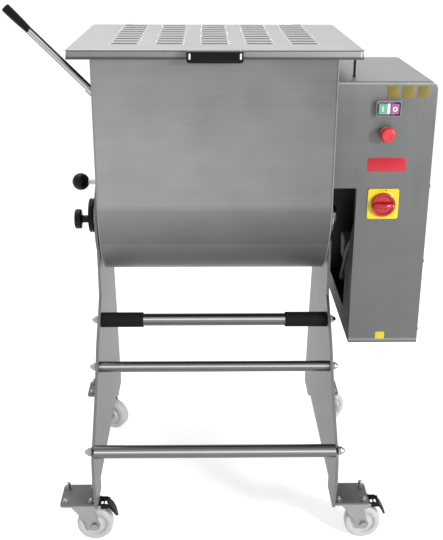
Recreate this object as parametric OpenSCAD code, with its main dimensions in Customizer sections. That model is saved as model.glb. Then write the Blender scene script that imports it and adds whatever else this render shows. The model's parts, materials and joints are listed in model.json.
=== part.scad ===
/* [Trough] */
// Outer radius of the trough's round bottom
tub_r = 202; // [190:1:212]
// Width of the tub over its end plates
tub_w = 480; // [420:1:560]
// Height of the trough's centre line above the tilt axis
tub_lift = 90; // [86:1:96]
// Height of the straight walls above the trough's centre line
tub_wall_h = 286; // [250:1:330]
// Thickness of the trough sheet
tub_t = 2.5; // [2:0.5:4]
// Thickness of the end plates
end_t = 3; // [2:0.5:5]
// How far the end plates stand proud of the trough sheet
end_proud = 1.5; // [0.5:0.5:3]
// Width of the rim at the tub's sides
rim_side = 44.5; // [36:0.5:60]
// Width of the rim at the back
rim_back = 50; // [40:1:60]
// Width of the rim at the front
rim_front = 13.5; // [8:0.5:20]
// Thickness of the rim
rim_t = 3; // [2:0.5:5]

/* [Lid] */
// Height of the lid's skirt
lid_skirt = 15; // [12:1:20]
// Thickness of the lid's sheet
lid_t = 2; // [1.5:0.5:3]
// Length of a slot
slot_l = 53; // [40:1:60]
// Width of a slot
slot_w = 13; // [6:1:18]
// Columns of slots
slot_cols = 5; // [3:1:5]
// Rows of slots
slot_rows = 8; // [4:1:8]
// Distance between the columns
slot_pitch_x = 90; // [80:1:95]
// Distance between the rows
slot_pitch_y = 49; // [40:1:50]
// Width of the lid's handle
handle_w = 108; // [90:1:140]
// How far the lid's handle stands out
handle_reach = 25; // [24:1:35]

/* [Stand] */
// Height of the tilt axis above the floor
pivot_h = 679; // [660:1:760]
// Gap between the tub's end plates and the legs
leg_gap = 15; // [13:1:20]
// Thickness of the leg plates
leg_t = 6; // [5:1:8]
// Reach of the front feet ahead of the tilt axis
foot_front = 331; // [300:1:380]
// Reach of the rear feet behind the tilt axis
foot_rear = 281; // [260:1:320]
// Distance of the column's front edge ahead of the tilt axis
column_front = 66; // [62:1:68]
// Radius of the leg bars
bar_r = 14; // [10:1:16]
// Radius of the middle bar
mid_bar_r = 12; // [8:1:14]
// Length of the rubber sleeves
sleeve_l = 95; // [60:1:140]
// Thickness of the rubber sleeves
sleeve_t = 3; // [2:0.5:5]

/* [Castors] */
// Radius of the castor wheels
wheel_r = 40; // [36:1:44]
// Width of the castor wheels
wheel_w = 30; // [24:1:34]
// Distance of the wheel behind the swivel axis
trail = 32; // [28:1:36]
// Length and width of the castor plates
plate_l = 78; // [74:1:90]

/* [Drive box] */
// Distance of the box's right side from the tub
box_w = 205.5; // [200:0.5:230]
// Width of the box below the notch over the leg
box_low_w = 151.5; // [148:0.5:160]
// Reach of the box ahead of the tilt axis
box_front = 160; // [150:1:180]
// Reach of the box behind the tilt axis
box_back = 193; // [170:1:215]
// Gap between the box's top and the tub's rim
box_gap = 49; // [45:1:75]
// Depth of the box's bottom below the tilt axis
box_down = 244; // [230:1:260]
// Height of the notch above the tilt axis
notch_up = 107; // [106:1:112]
// Thickness of the box's sheet
box_t = 2; // [1.5:0.5:3]
// Radius of the box's rounded top edge
box_round = 18; // [10:1:25]

/* [Drive] */
// Radius of the paddle shaft
shaft_r = 12.5; // [10:0.5:13]
// Gap between the paddle blades and the trough
blade_gap = 8; // [4:1:15]
// Radius of the motor
motor_r = 50; // [40:1:52]
// Radius of the tilt pivots
pivot_r = 15; // [12:1:16]

/* [Controls] */
// Width of the main switch's plate
switch_w = 65; // [55:1:75]
// Radius of the main switch's dial
dial_r = 25; // [20:1:28]
// Width of the push button block
button_w = 50; // [44:1:60]
// Height of the push button block
button_h = 31; // [26:1:36]
// Radius of the stop mushroom
stop_r = 16; // [14:1:20]
// Travel of the push buttons
button_travel = 3; // [1:0.5:3]
// Travel of the stop mushroom
stop_travel = 4; // [2:0.5:5]

/* [Tilting handle] */
// Radius of the lever's tube
lever_r = 7.75; // [6:0.25:9]
// Length of the lever from the tub's wall to the grip's end
lever_l = 306; // [240:1:340]
// Angle of the lever above level
lever_angle = 45; // [40:1:50]
// Length of the grip
grip_l = 72; // [60:1:110]
// Radius of the clamp's wheel
clamp_r = 39; // [34:1:42]
// Radius of the lock pin's ball
ball_r = 20; // [16:1:22]

/* [Hidden] */
$fn = 72;

// Clearances
cut = 1;
gap = 0.3;
fit = 0.05;
seam = 0.1;

// Heights and places of the main pieces, from the tilt axis
half_w = tub_w / 2;
axis_h = pivot_h + tub_lift;
rim_h = axis_h + tub_wall_h + rim_t;
leg_x = half_w + leg_gap;
leg_out = leg_x + leg_t;
end_r = tub_r + end_proud;

module home() { translate([-mid_x, -mid_y, 0]) children(); }
module slab_x(x0, x1) { translate([x0, 0, 0]) rotate([90, 0, 90]) linear_extrude(x1 - x0) children(); }
module slab_y(y0, y1) { translate([0, y1, 0]) rotate([90, 0, 0]) linear_extrude(y1 - y0) children(); }
module slab_z(z0, z1) { translate([0, 0, z0]) linear_extrude(z1 - z0) children(); }
module rod_x(x0, x1, r, y, z) { slab_x(x0, x1) translate([y, z]) circle(r); }
module rod_y(y0, y1, r, x, z) { slab_y(y0, y1) translate([x, z]) circle(r); }
module ring_x(x0, x1, r_out, r_in, y, z) {
    slab_x(x0, x1) translate([y, z]) difference() { circle(r_out); circle(r_in); }
}
module spin_x(x, y, z) { translate([x, y, z]) rotate([0, 90, 0]) rotate_extrude() children(); }
module spin_y(x, y, z) { translate([x, y, z]) rotate([-90, 0, 0]) rotate_extrude() children(); }
module both_sides() { children(); mirror([1, 0, 0]) children(); }

// Trough, end plates and rim
module trough_2d(r, h) { circle(r); translate([-r, 0]) square([2 * r, h]); }
module tub_trough() {
    home() color("silver") translate([0, 0, axis_h]) slab_x(-half_w + end_t, half_w - end_t)
        difference() {
            trough_2d(tub_r, tub_wall_h);
            trough_2d(tub_r - tub_t, tub_wall_h + cut);
        }
}
module end_plate() {
    slab_x(half_w - end_t, half_w) translate([0, axis_h]) difference() {
        trough_2d(end_r, tub_wall_h);
        circle(shaft_r + seal_t);
    }
}
seal_t = 4;
module tub_ends() { home() color("silver") both_sides() end_plate(); }
rim_x = half_w + rim_side;
rim_y0 = -tub_r - rim_front;
rim_y1 = tub_r + rim_back;
module tub_rim() {
    home() color("silver") slab_z(rim_h - rim_t, rim_h) difference() {
        translate([-rim_x, rim_y0]) square([2 * rim_x, rim_y1 - rim_y0]);
        translate([-half_w + end_t, -tub_r + tub_t]) square([tub_w - 2 * end_t, 2 * (tub_r - tub_t)]);
    }
}

// Lid with its slots, handle, hinges and tongue
edge = 0.5;
lid_x = rim_x + edge;
lid_y0 = rim_y0 - edge;
lid_y1 = rim_y1 + 8 * edge;
lid_z0 = rim_h + gap;
lid_z1 = lid_z0 + lid_skirt;
lid_corner = 7;
slot_inset = 97;
slot_y0 = lid_y0 + slot_inset;
module outline_2d(x, y0, y1, c) {
    polygon([[-x + c, y0], [x - c, y0], [x, y0 + c], [x, y1 - c], [x - c, y1], [-x + c, y1],
        [-x, y1 - c], [-x, y0 + c]]);
}
module slot_2d(l, w) {
    square([l - w, w], center = true);
    for (s = [-1, 1]) translate([s * (l - w) / 2, 0]) circle(w / 2);
}
module lid_panel() {
    home() color("silver") difference() {
        slab_z(lid_z0, lid_z1) outline_2d(lid_x, lid_y0, lid_y1, lid_corner);
        slab_z(lid_z0 - cut, lid_z1 - lid_t)
            outline_2d(lid_x - lid_t, lid_y0 + lid_t, lid_y1 - lid_t, lid_corner - lid_t / 2);
        slab_z(lid_z1 - lid_t - cut, lid_z1 + cut)
            for (i = [0:slot_cols - 1], j = [0:slot_rows - 1])
                translate([(i - (slot_cols - 1) / 2) * slot_pitch_x, slot_y0 + j * slot_pitch_y])
                    slot_2d(slot_l, slot_w);
    }
}
handle_h = 22;
handle_leg = 9;
handle_corner = 5;
module handle_2d(inset) {
    x = handle_w / 2 - inset;
    y = lid_y0 - handle_reach + inset;
    polygon([[-x, lid_y0 + min(inset, cut)], [-x, y + handle_corner], [-x + handle_corner, y],
        [x - handle_corner, y], [x, y + handle_corner], [x, lid_y0 + min(inset, cut)]]);
}
module lid_handle() {
    home() color("black") slab_z(lid_z1 - handle_h, lid_z1) difference() {
        handle_2d(0);
        handle_2d(handle_leg);
    }
}
hinge_x = 200;
hinge_l = 60;
knuckle_r = 6;
hinge_pin_r = 3;
hinge_off = 10;
hinge_y = lid_y1 + hinge_off;
hinge_rise = 4;
hinge_z = rim_h + hinge_rise;
leaf_t = 3;
hinge_low = rim_h - rim_t - leaf_t;
module knuckle(x0, x1) { ring_x(x0, x1, knuckle_r, hinge_pin_r + fit, hinge_y, hinge_z); }
module lid_hinges() {
    home() color("gray") both_sides() translate([hinge_x, 0, 0]) {
        x = hinge_l / 6 - gap / 2;
        difference() {
            union() {
                knuckle(-x, x);
                slab_x(-x, x) translate([lid_y1, hinge_z]) square([hinge_off, lid_z1 - hinge_z]);
            }
            rod_x(-x - cut, x + cut, hinge_pin_r + fit, hinge_y, hinge_z);
        }
    }
}
module tub_hinges() {
    home() color("gray") both_sides() translate([hinge_x, 0, 0]) difference() {
        union() {
            slab_x(-hinge_l / 2, hinge_l / 2) translate([rim_y1 - rim_back / 2, hinge_low])
                square([hinge_y + knuckle_r - rim_y1 + rim_back / 2, leaf_t]);
            for (s = [-1, 1]) {
                x0 = s > 0 ? hinge_l / 6 + gap / 2 : -hinge_l / 2;
                x1 = s > 0 ? hinge_l / 2 : -hinge_l / 6 - gap / 2;
                knuckle(x0, x1);
                slab_x(x0, x1) translate([hinge_y - knuckle_r, hinge_low])
                    square([2 * knuckle_r, hinge_z - hinge_low]);
            }
        }
        rod_x(-hinge_l, hinge_l, hinge_pin_r + fit, hinge_y, hinge_z);
    }
    home() color("dimgray") both_sides() translate([hinge_x, 0, 0]) {
        rod_x(-hinge_l / 2, hinge_l / 2, hinge_pin_r, hinge_y, hinge_z);
        for (x = [-hinge_l / 2 - leaf_t / 2, hinge_l / 2])
            rod_x(x, x + leaf_t / 2, hinge_pin_r * 1.5, hinge_y, hinge_z);
    }
}
tongue_y = -95;
tongue_w = 12;
tongue_t = 3;
tongue_dip = 6;
slot_air = 2.5;
box_top = rim_h - rim_t - box_gap;
module lid_tongue() {
    home() color("black") slab_y(tongue_y - tongue_w / 2, tongue_y + tongue_w / 2)
        translate([lid_x, box_top - tongue_dip]) square([tongue_t, lid_z1 - 2 * lid_t - box_top + tongue_dip]);
}
module tongue_slot_2d() {
    translate([lid_x - slot_air, tongue_y - tongue_w / 2 - slot_air])
        square([tongue_t + 2 * slot_air, tongue_w + 2 * slot_air]);
}
lid_switch_h = 40;
lid_switch_wall = 8;
module lid_switch() {
    home() color("black") difference() {
        slab_z(box_top - box_t - lid_switch_h, box_top - box_t)
            translate([lid_x - slot_air - lid_switch_wall, tongue_y - tongue_w / 2 - slot_air - lid_switch_wall])
                square([tongue_t + 2 * (slot_air + lid_switch_wall), tongue_w + 2 * (slot_air + lid_switch_wall)]);
        slab_z(box_top - tongue_dip - slot_air, box_top) tongue_slot_2d();
    }
}

// Side plates of the stand
plate_t = 4;
top_plate_t = 3.5;
head_room = 26;
castor_h = 2 * wheel_r + head_room;
plate_z0 = castor_h;
foot_z = plate_z0 + plate_t;
col_h = pivot_h - foot_z;
arch_rise = 27;
head_r = 66;
left_head_r = 90;
// Front edge of a leg, as shares of the front foot's reach and of the height up to the tilt axis
front_shares = [[0.94, 0], [1, 0.141], [0.982, 0.228], [0.692, 0.395], [0.465, 0.566]];
// Rear edge of a leg, as shares of the rear foot's reach and of the same height
rear_shares = [[0.732, 0.791], [0.875, 0.422], [1, 0]];
// Underside of a leg: rear foot, arch and front foot
rear_foot_share = 0.69;
arch_rear_share = 0.5;
arch_front_share = 0.7;
column_low_share = 0.701;
column_top_share = 0.93;
rear_top_share = 0.95;
module leg_2d(column_r) {
    polygon(concat(
        [for (p = front_shares) [-foot_front * p[0], foot_z + col_h * p[1]]],
        [[-column_front, foot_z + col_h * column_low_share],
            [-column_front, foot_z + col_h * column_top_share],
            [column_r, foot_z + col_h * rear_top_share]],
        [for (p = rear_shares) [foot_rear * p[0], foot_z + col_h * p[1]]],
        [[foot_rear * rear_foot_share, foot_z], [foot_rear * arch_rear_share, foot_z + arch_rise],
            [-foot_front * arch_front_share, foot_z + arch_rise], [-foot_front * arch_front_share, foot_z]]));
}
// Place of the lock pin from the tilt axis
lock_y = 80;
lock_z = 57;
lock_r = 7;
lock_body_r = 11;
lock_spigot_r = 9;
head_up = 136;
head_back = 122;
head_front = 20;
head_corner = 14;
bush_r = 20;
stud_r = 5;
rest_gap = 0.5;
rest_back = 5;
sleeve_r = bar_r + sleeve_t;
rest_y = -tub_lift + rest_back;
rest_z = pivot_h - end_r - rest_gap - sleeve_r;
mid_y_share = 0.485;
mid_z_share = 0.47;
foot_bar_share = 0.935;
foot_bar_z_share = 0.25;
bar_places = [[rest_y, rest_z, bar_r], [-foot_front * mid_y_share, foot_z + col_h * mid_z_share, mid_bar_r],
    [-foot_front * foot_bar_share, foot_z + col_h * foot_bar_z_share, bar_r]];
module stud_holes() { for (b = bar_places) rod_x(leg_x - cut, leg_out + cut, stud_r + fit, b[0], b[1]); }
module pivot_hole() { rod_x(leg_x - cut, leg_out + cut, bush_r + fit, 0, pivot_h); }
module left_leg() {
    low = -col_h * (1 - rear_top_share);
    home() color("silver") mirror([1, 0, 0]) difference() {
        union() {
            slab_x(leg_x, leg_out) leg_2d(head_back);
            rod_x(leg_x, leg_out, left_head_r, 0, pivot_h);
            slab_x(leg_x, leg_out) translate([0, pivot_h]) polygon([[-head_front, low - cut],
                [-head_front, head_up - head_corner], [-head_front + head_corner, head_up],
                [head_back - head_corner, head_up], [head_back, head_up - head_corner], [head_back, low - cut]]);
        }
        pivot_hole();
        rod_x(leg_x - cut, leg_out + cut, lock_spigot_r + fit, lock_y, pivot_h + lock_z);
        stud_holes();
    }
}
module right_leg() {
    home() color("silver") difference() {
        union() {
            slab_x(leg_x, leg_out) leg_2d(head_r);
            rod_x(leg_x, leg_out, head_r, 0, pivot_h);
        }
        pivot_hole();
        stud_holes();
    }
}

// Bars between the legs, with their sleeves and nuts
module bar(b) { rod_x(-leg_x, leg_x, b[2], b[0], b[1]); }
module rest_bar() { home() color("silver") bar(bar_places[0]); }
module middle_bar() { home() color("silver") bar(bar_places[1]); }
module foot_bar() { home() color("silver") bar(bar_places[2]); }
module bar_sleeves() {
    home() color("black") both_sides()
        ring_x(leg_x - sleeve_l, leg_x - gap, sleeve_r, bar_r + fit, rest_y, rest_z);
}
washer_t = 1.5;
nut_h = 7;
nut_r = 8.5;
module bar_nuts() {
    home() color("silver") both_sides() for (b = bar_places) translate([0, b[0], b[1]]) {
        rod_x(leg_x, leg_out + washer_t, stud_r, 0, 0);
        rod_x(leg_out, leg_out + washer_t, nut_r * 1.2, 0, 0);
        slab_x(leg_out + washer_t, leg_out + washer_t + nut_h) circle(nut_r, $fn = 6);
        spin_x(leg_out + washer_t + nut_h, 0, 0) intersection() {
            circle(nut_r * 0.82);
            square(nut_r);
        }
    }
}

// Castors: plates welded to the legs, bolted castor plates, forks and wheels
swivel_x = leg_out + plate_l / 2;
plate_back = 35;
front_y = -foot_front + plate_l / 2 + plate_back;
rear_y = foot_rear - plate_l / 2;
bolt_off = 28;
bolt_r = 4;
king_r = 5;
race_r = 24;
race_h = 9;
race_z = plate_z0 - top_plate_t - race_h;
crown_t = 3;
crown_z = race_z - gap - crown_t;
module at_castors() {
    for (y = [front_y, rear_y]) both_sides() translate([swivel_x, y, 0]) children();
}
module castor_plate_2d(hole) {
    difference() {
        outline_2d(plate_l / 2, -plate_l / 2, plate_l / 2, bolt_r);
        for (sx = [-1, 1], sy = [-1, 1]) translate([sx * bolt_off, sy * bolt_off]) circle(bolt_r + gap);
        circle(hole);
    }
}
module base_plates() {
    home() color("silver") at_castors() slab_z(plate_z0, foot_z) castor_plate_2d(king_r * 2);
}
module castor_tops() {
    home() color("gray") at_castors() difference() {
        union() {
            slab_z(plate_z0 - top_plate_t, plate_z0) castor_plate_2d(king_r + fit);
            slab_z(race_z, plate_z0 - top_plate_t) circle(race_r);
        }
        slab_z(race_z - cut, plate_z0 + cut) circle(king_r + fit);
    }
}
module castor_bolts() {
    home() color("silver") at_castors() for (sx = [-1, 1], sy = [-1, 1])
        translate([sx * bolt_off, sy * bolt_off, 0]) {
            slab_z(plate_z0 - top_plate_t - bolt_r, plate_z0 - top_plate_t) circle(bolt_r * 1.7, $fn = 6);
            slab_z(plate_z0 - top_plate_t, foot_z + 2.6 * bolt_r) circle(bolt_r);
            slab_z(foot_z, foot_z + 1.6 * bolt_r) circle(bolt_r * 1.8, $fn = 6);
        }
}
wheel_air = 2;
fork_in = wheel_w / 2 + wheel_air;
fork_t = 3;
axle_r = 5;
axle_end = 5;
eye_r = 12;
pedal_r = 2.5;
pedal_off = 10;
pedal_air = 1;
pedal_x = trail + pedal_off;
pedal_z = crown_z + crown_t - pedal_r - pedal_air;
module fork_side_2d(braked) {
    difference() {
        union() {
            polygon([[-race_r + crown_t, crown_z + crown_t], [race_r + crown_t, crown_z + crown_t],
                [trail + eye_r, wheel_r], [trail - eye_r, wheel_r]]);
            translate([trail, wheel_r]) circle(eye_r);
            if (braked) polygon([[0, crown_z + crown_t], [pedal_x + 2 * pedal_r, crown_z + crown_t],
                [pedal_x + 2 * pedal_r, pedal_z - 2 * pedal_r], [trail, pedal_z - 4 * pedal_r]]);
        }
        translate([trail, wheel_r]) circle(axle_r + fit);
    }
}
module fork(braked) {
    difference() {
        union() {
            slab_z(crown_z, crown_z + crown_t) {
                circle(race_r);
                translate([-race_r + crown_t, -fork_in - fork_t]) square([2 * race_r, 2 * (fork_in + fork_t)]);
            }
            for (s = [0, 1]) mirror([0, s, 0]) slab_y(fork_in, fork_in + fork_t) fork_side_2d(braked);
            slab_z(crown_z, plate_z0) circle(king_r);
            if (braked) rod_y(-fork_in, fork_in, pedal_r, pedal_x, pedal_z);
        }
    }
    rod_y(-fork_in - fork_t - axle_end, fork_in + fork_t + axle_end, axle_r, trail, wheel_r);
    for (s = [0, 1]) mirror([0, s, 0]) slab_y(fork_in + fork_t, fork_in + fork_t + axle_end)
        translate([trail, wheel_r]) circle(axle_r * 1.7, $fn = 6);
}
hub_r = 13;
rim_in = 4;
web_half = 6;
web_round = 2;
tread_round = 1;
module wheel() {
    face = wheel_w / 2;
    side = [[hub_r, face], [hub_r + web_round, web_half], [wheel_r - 3 * rim_in, web_half],
        [wheel_r - 2 * rim_in, face - web_round], [wheel_r - rim_in, face - web_round],
        [wheel_r - tread_round, face - rim_in - tread_round], [wheel_r, rim_in]];
    last = len(side) - 1;
    spin_y(trail, 0, wheel_r) polygon(concat([[axle_r + fit, -face]], [for (p = side) [p[0], -p[1]]],
        [for (i = [0:last]) side[last - i]], [[axle_r + fit, face]]));
}
module fork_node(sx, y, turn, braked) {
    home() color("gray") translate([sx * swivel_x, y, 0]) rotate([0, 0, turn]) fork(braked);
}
module wheel_node(sx, y, turn) {
    home() color("white") translate([sx * swivel_x, y, 0]) rotate([0, 0, turn]) wheel();
}
// How far each castor is turned, from trailing to the right
turn_rear_left = -28;
turn_rear_right = 33;
module fork_front_left() { fork_node(-1, front_y, 0, true); }
module fork_front_right() { fork_node(1, front_y, 0, true); }
module fork_rear_left() { fork_node(-1, rear_y, turn_rear_left, false); }
module fork_rear_right() { fork_node(1, rear_y, turn_rear_right, false); }
module wheel_front_left() { wheel_node(-1, front_y, 0); }
module wheel_front_right() { wheel_node(1, front_y, 0); }
module wheel_rear_left() { wheel_node(-1, rear_y, turn_rear_left); }
module wheel_rear_right() { wheel_node(1, rear_y, turn_rear_right); }
pedal_t = 5;
pedal_down = 32;
module pedal(sx) {
    x0 = pedal_x - 2 * pedal_r;
    x1 = trail + wheel_r - pedal_t;
    home() color("black") translate([sx * swivel_x, front_y, 0]) difference() {
        slab_y(-fork_in + pedal_air, fork_in - pedal_air) {
            translate([pedal_x, pedal_z]) circle(2 * pedal_r);
            polygon([[pedal_x, pedal_z + 2 * pedal_r], [pedal_x, pedal_z - pedal_r],
                [x1 - pedal_t / 2, pedal_z - pedal_r], [x1 + 2 * pedal_t, pedal_z - pedal_down],
                [x1 + 3 * pedal_t, pedal_z - pedal_down + pedal_t / 2],
                [x1 + 1.5 * pedal_t, pedal_z + pedal_r / 2], [x1, pedal_z + 2 * pedal_r]]);
        }
        rod_y(-wheel_w, wheel_w, pedal_r + fit, pedal_x, pedal_z);
    }
}
module pedal_left() { pedal(-1); }
module pedal_right() { pedal(1); }

// Tilt pivots: flanged bushes in the legs, stubs on the tub, nut and clamp wheel
collar_t = 7;
collar_r = 37;
stub_flange_t = 8;
stub_flange_r = 45;
nut_t = 6;
bush_end = leg_out + collar_t;
module pivot_bushes() {
    home() color("gray") both_sides() {
        ring_x(leg_x, bush_end, bush_r, pivot_r + fit, 0, pivot_h);
        ring_x(leg_out, bush_end, collar_r, bush_r, 0, pivot_h);
    }
}
clamp_x = bush_end + gap;
clamp_t = 13;
grip_y = -27;
grip_neck_r = 9;
grip_neck_l = 13.5;
grip_knob_r = 22;
grip_knob_t = 15.5;
grip_pin_r = 4;
grip_x = clamp_x + clamp_t + gap;
grip_end = grip_x + grip_neck_l + grip_knob_t;
stub_in = 2;
stub_left = clamp_x + clamp_t - stub_in;
stub_right = bush_end + gap + nut_t;
module pivot_stubs() {
    home() color("silver") {
        mirror([1, 0, 0]) {
            rod_x(half_w, half_w + stub_flange_t, stub_flange_r, 0, pivot_h);
            rod_x(half_w, stub_left, pivot_r, 0, pivot_h);
        }
        rod_x(half_w, half_w + stub_flange_t, stub_flange_r, 0, pivot_h);
        rod_x(half_w, stub_right, pivot_r, 0, pivot_h);
        ring_x(bush_end + gap, stub_right, pivot_r * 1.6, pivot_r + fit, 0, pivot_h);
    }
}
wheel_round = 4;
module clamp_wheel() {
    home() color("black") mirror([1, 0, 0]) {
        difference() {
            spin_x(clamp_x, 0, pivot_h) polygon([[0, 0], [clamp_r - wheel_round, 0], [clamp_r, wheel_round],
                [clamp_r, clamp_t - wheel_round], [clamp_r - wheel_round, clamp_t], [0, clamp_t]]);
            rod_x(clamp_x - cut, stub_left + gap, pivot_r + fit, 0, pivot_h);
        }
        rod_x(clamp_x + clamp_t, grip_end - grip_knob_t / 2, grip_pin_r, grip_y, pivot_h);
    }
}
module clamp_grip() {
    home() color("black") mirror([1, 0, 0]) difference() {
        spin_x(grip_x, grip_y, pivot_h) polygon([[0, 0], [grip_neck_r, 0], [grip_neck_r, grip_neck_l],
            [grip_knob_r - wheel_round, grip_neck_l], [grip_knob_r, grip_neck_l + wheel_round],
            [grip_knob_r, grip_neck_l + grip_knob_t - wheel_round],
            [grip_knob_r - wheel_round, grip_neck_l + grip_knob_t], [0, grip_neck_l + grip_knob_t]]);
        rod_x(grip_x - cut, grip_end - grip_knob_t / 2 + gap, grip_pin_r + fit, grip_y, pivot_h);
    }
}

// Lock pin of the tilt, its housing on the left leg and its bushes on the tub
lock_body_l = 9;
lock_back = 2;
lock_tip = leg_x + lock_back;
lock_bush_l = 8;
lock_bush_r = 13;
lock_air = 0.9;
lock_nose = 1;
ball_off = 47;
ball_x = leg_out + ball_off;
ball_bite = 8;
lock_h = pivot_h + lock_z;
module lock_housing() {
    home() color("silver") mirror([1, 0, 0]) {
        ring_x(leg_x, leg_out, lock_spigot_r, lock_r + fit, lock_y, lock_h);
        ring_x(leg_out, leg_out + lock_body_l, lock_body_r, lock_r + fit, lock_y, lock_h);
    }
}
module lock_pin() {
    home() color("silver") spin_x(-lock_tip, lock_y, lock_h) polygon([[0, lock_tip + ball_r - ball_bite - ball_x],
        [lock_r, lock_tip + ball_r - ball_bite - ball_x], [lock_r, -lock_nose], [lock_r - lock_nose, 0], [0, 0]]);
}
module lock_ball() {
    home() color("black") spin_x(-ball_x, lock_y, lock_h) difference() {
        intersection() {
            circle(ball_r);
            translate([0, -ball_r]) square([ball_r, 2 * ball_r]);
        }
        translate([0, ball_r - ball_bite]) square([lock_r + fit, ball_bite + cut]);
    }
}
module lock_bushes() {
    home() color("silver") mirror([1, 0, 0]) for (p = [[lock_y, lock_z], [lock_z, -lock_y]])
        ring_x(half_w, half_w + lock_bush_l, lock_bush_r, lock_r + lock_air, p[0], pivot_h + p[1]);
}

// Tilting handle on the tub's left wall
lever_y = 87;
lever_up = 142;
lever_z = axis_h + lever_up;
socket_l = 59;
socket_wall = 3;
spigot_r = 5;
grip_low_r = 7.4;
grip_high_r = 10.5;
grip_bite = 60;
module along_lever() {
    translate([-half_w, lever_y, lever_z]) rotate([0, lever_angle - 90, 0]) children();
}
module lever_socket() {
    home() color("silver") intersection() {
        along_lever() translate([0, 0, -2 * lever_r]) difference() {
            cylinder(r = lever_r + socket_wall, h = socket_l + 2 * lever_r);
            translate([0, 0, 4 * lever_r]) cylinder(r = lever_r + fit, h = socket_l);
        }
        translate([-half_w - socket_l, lever_y - socket_l, lever_z - socket_l]) cube([socket_l, 2 * socket_l, 3 * socket_l]);
    }
}
module lever_tube() {
    home() color("silver") along_lever() {
        translate([0, 0, 2 * lever_r]) cylinder(r = lever_r, h = lever_l - grip_l - 2 * lever_r);
        translate([0, 0, lever_l - grip_l]) cylinder(r = spigot_r, h = grip_bite - gap);
    }
}
module lever_grip() {
    home() color("black") along_lever() translate([0, 0, lever_l - grip_l]) difference() {
        rotate_extrude() {
            polygon([[0, 0], [grip_low_r, 0], [grip_high_r, grip_l - grip_high_r], [0, grip_l - grip_high_r]]);
            translate([0, grip_l - grip_high_r]) intersection() {
                circle(grip_high_r);
                square(grip_high_r);
            }
        }
        translate([0, 0, -cut]) cylinder(r = spigot_r + fit, h = grip_bite + cut);
    }
}

// Paddle shaft, blades and bearings
bearing_t = 12;
bearing_r = 30;
gear_off = 145;
gear_half = 48;
shaft_end = 5;
shaft_left = half_w + bearing_t;
shaft_right = half_w + gear_off + gear_half + shaft_end;
swing_r = tub_r - tub_t - blade_gap;
arm_count = 4;
arm_edge = 65;
arm_pitch = (tub_w - 2 * arm_edge) / (arm_count - 1);
arm_r = 8;
hub_l = 34;
hub_wall = 7;
blade_l = 96;
blade_d = 46;
blade_t = 6;
blade_turn = 35;
module paddle_shaft() { home() color("silver") rod_x(-shaft_left + gap, shaft_right, shaft_r, 0, axis_h); }
module paddle_blades() {
    home() color("silver") for (i = [0:arm_count - 1])
        translate([(i - (arm_count - 1) / 2) * arm_pitch, 0, axis_h]) rotate([180 * (i % 2), 0, 0])
            difference() {
                union() {
                    rod_x(-hub_l / 2, hub_l / 2, shaft_r + hub_wall, 0, 0);
                    rod_y(0, swing_r - blade_d / 2, arm_r, 0, 0);
                    intersection() {
                        rotate([0, blade_turn, 0]) translate([-blade_l / 2, swing_r - blade_d, -blade_t / 2])
                            cube([blade_l, blade_d, blade_t]);
                        rod_x(-blade_l, blade_l, swing_r, 0, 0);
                    }
                }
                rod_x(-hub_l, hub_l, shaft_r + fit, 0, 0);
            }
}
module shaft_bearings() {
    home() color("gray") both_sides()
        ring_x(half_w, half_w + bearing_t, bearing_r, shaft_r + fit, 0, axis_h);
}

// Drive box: bent sheet with a notch over the leg, an opening at its left and a cover at its right
box_x0 = half_w;
box_x1 = half_w + box_w;
box_low_x = box_x1 - box_low_w;
box_z0 = pivot_h - box_down;
notch_z = pivot_h + notch_up;
cover_w = 50;
bearing_air = 3;
// Opening in the box's left side, as shares of its depth ahead of and behind the tilt axis and of its height
open_front_shares = [[-0.41, 0.19], [-0.41, 0.43], [-0.66, 0.9], [-0.9, 1.11]];
open_back_share = 0.88;
module box_2d(inset) {
    x1 = box_x1 - inset;
    z1 = box_top - inset;
    r = box_round - inset;
    difference() {
        union() {
            translate([box_x0 + inset, notch_z + inset]) square([box_w - 2 * inset, z1 - notch_z - inset]);
            translate([box_low_x + inset, box_z0 + inset]) square([box_low_w - 2 * inset, z1 - box_z0 - inset]);
        }
        translate([x1 - r, z1 - r]) difference() {
            square(r + cut);
            circle(r);
        }
    }
}
module cover_zone_2d() {
    translate([box_x1 - box_t, box_z0 - cut]) square([2 * box_t, box_top - box_z0]);
    translate([box_x1 - cover_w, box_top - box_round]) square([2 * cover_w, 2 * box_round]);
}
// Front and rear panels are welded to the folded sheet between them along a fine seam
module drive_box() {
    home() color("silver") difference() {
        union() {
            for (y = [-box_front, box_back - box_t]) slab_y(y, y + box_t) box_2d(0);
            slab_y(-box_front + box_t + seam, box_back - box_t - seam) difference() {
                box_2d(0);
                box_2d(box_t);
                cover_zone_2d();
            }
        }
        slab_x(box_low_x - cut, box_low_x + box_t + cut) polygon(concat(
            [for (p = open_front_shares) [box_front * p[0], box_z0 + box_down * p[1]]],
            [[-0.9 * box_front, notch_z - cut], [box_back * open_back_share, notch_z - cut],
                [box_back * open_back_share, box_z0 + 0.19 * box_down]]));
        rod_x(half_w - cut, half_w + bearing_t + bearing_air, bearing_r + bearing_air, 0, axis_h);
        rod_y(box_back - 2 * box_t, box_back + cut, gland_thread_r + fit, gland_x, gland_z);
        slab_z(box_top - 2 * box_t, box_top + cut) tongue_slot_2d();
    }
}
module box_cover() {
    home() color("silver") slab_y(-box_front + box_t, box_back - box_t) intersection() {
        difference() {
            box_2d(0);
            box_2d(box_t);
        }
        cover_zone_2d();
    }
}
screw_r = 5;
screw_h = 2.5;
screw_inset = 9;
screw_shares = [0.05, 0.33, 0.62];
module cover_screws() {
    home() color("dimgray") for (s = screw_shares, y = [-box_front + screw_inset, box_back - screw_inset])
        rod_x(box_x1, box_x1 + screw_h, screw_r, y, box_z0 + (box_top - box_z0) * s);
}
gland_thread_r = 8;
gland_r = 4.5;
gland_nut_r = 12;
gland_l = 22;
gland_in = 8;
gland_off = 45;
gland_x = box_x1 - gland_off;
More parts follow.
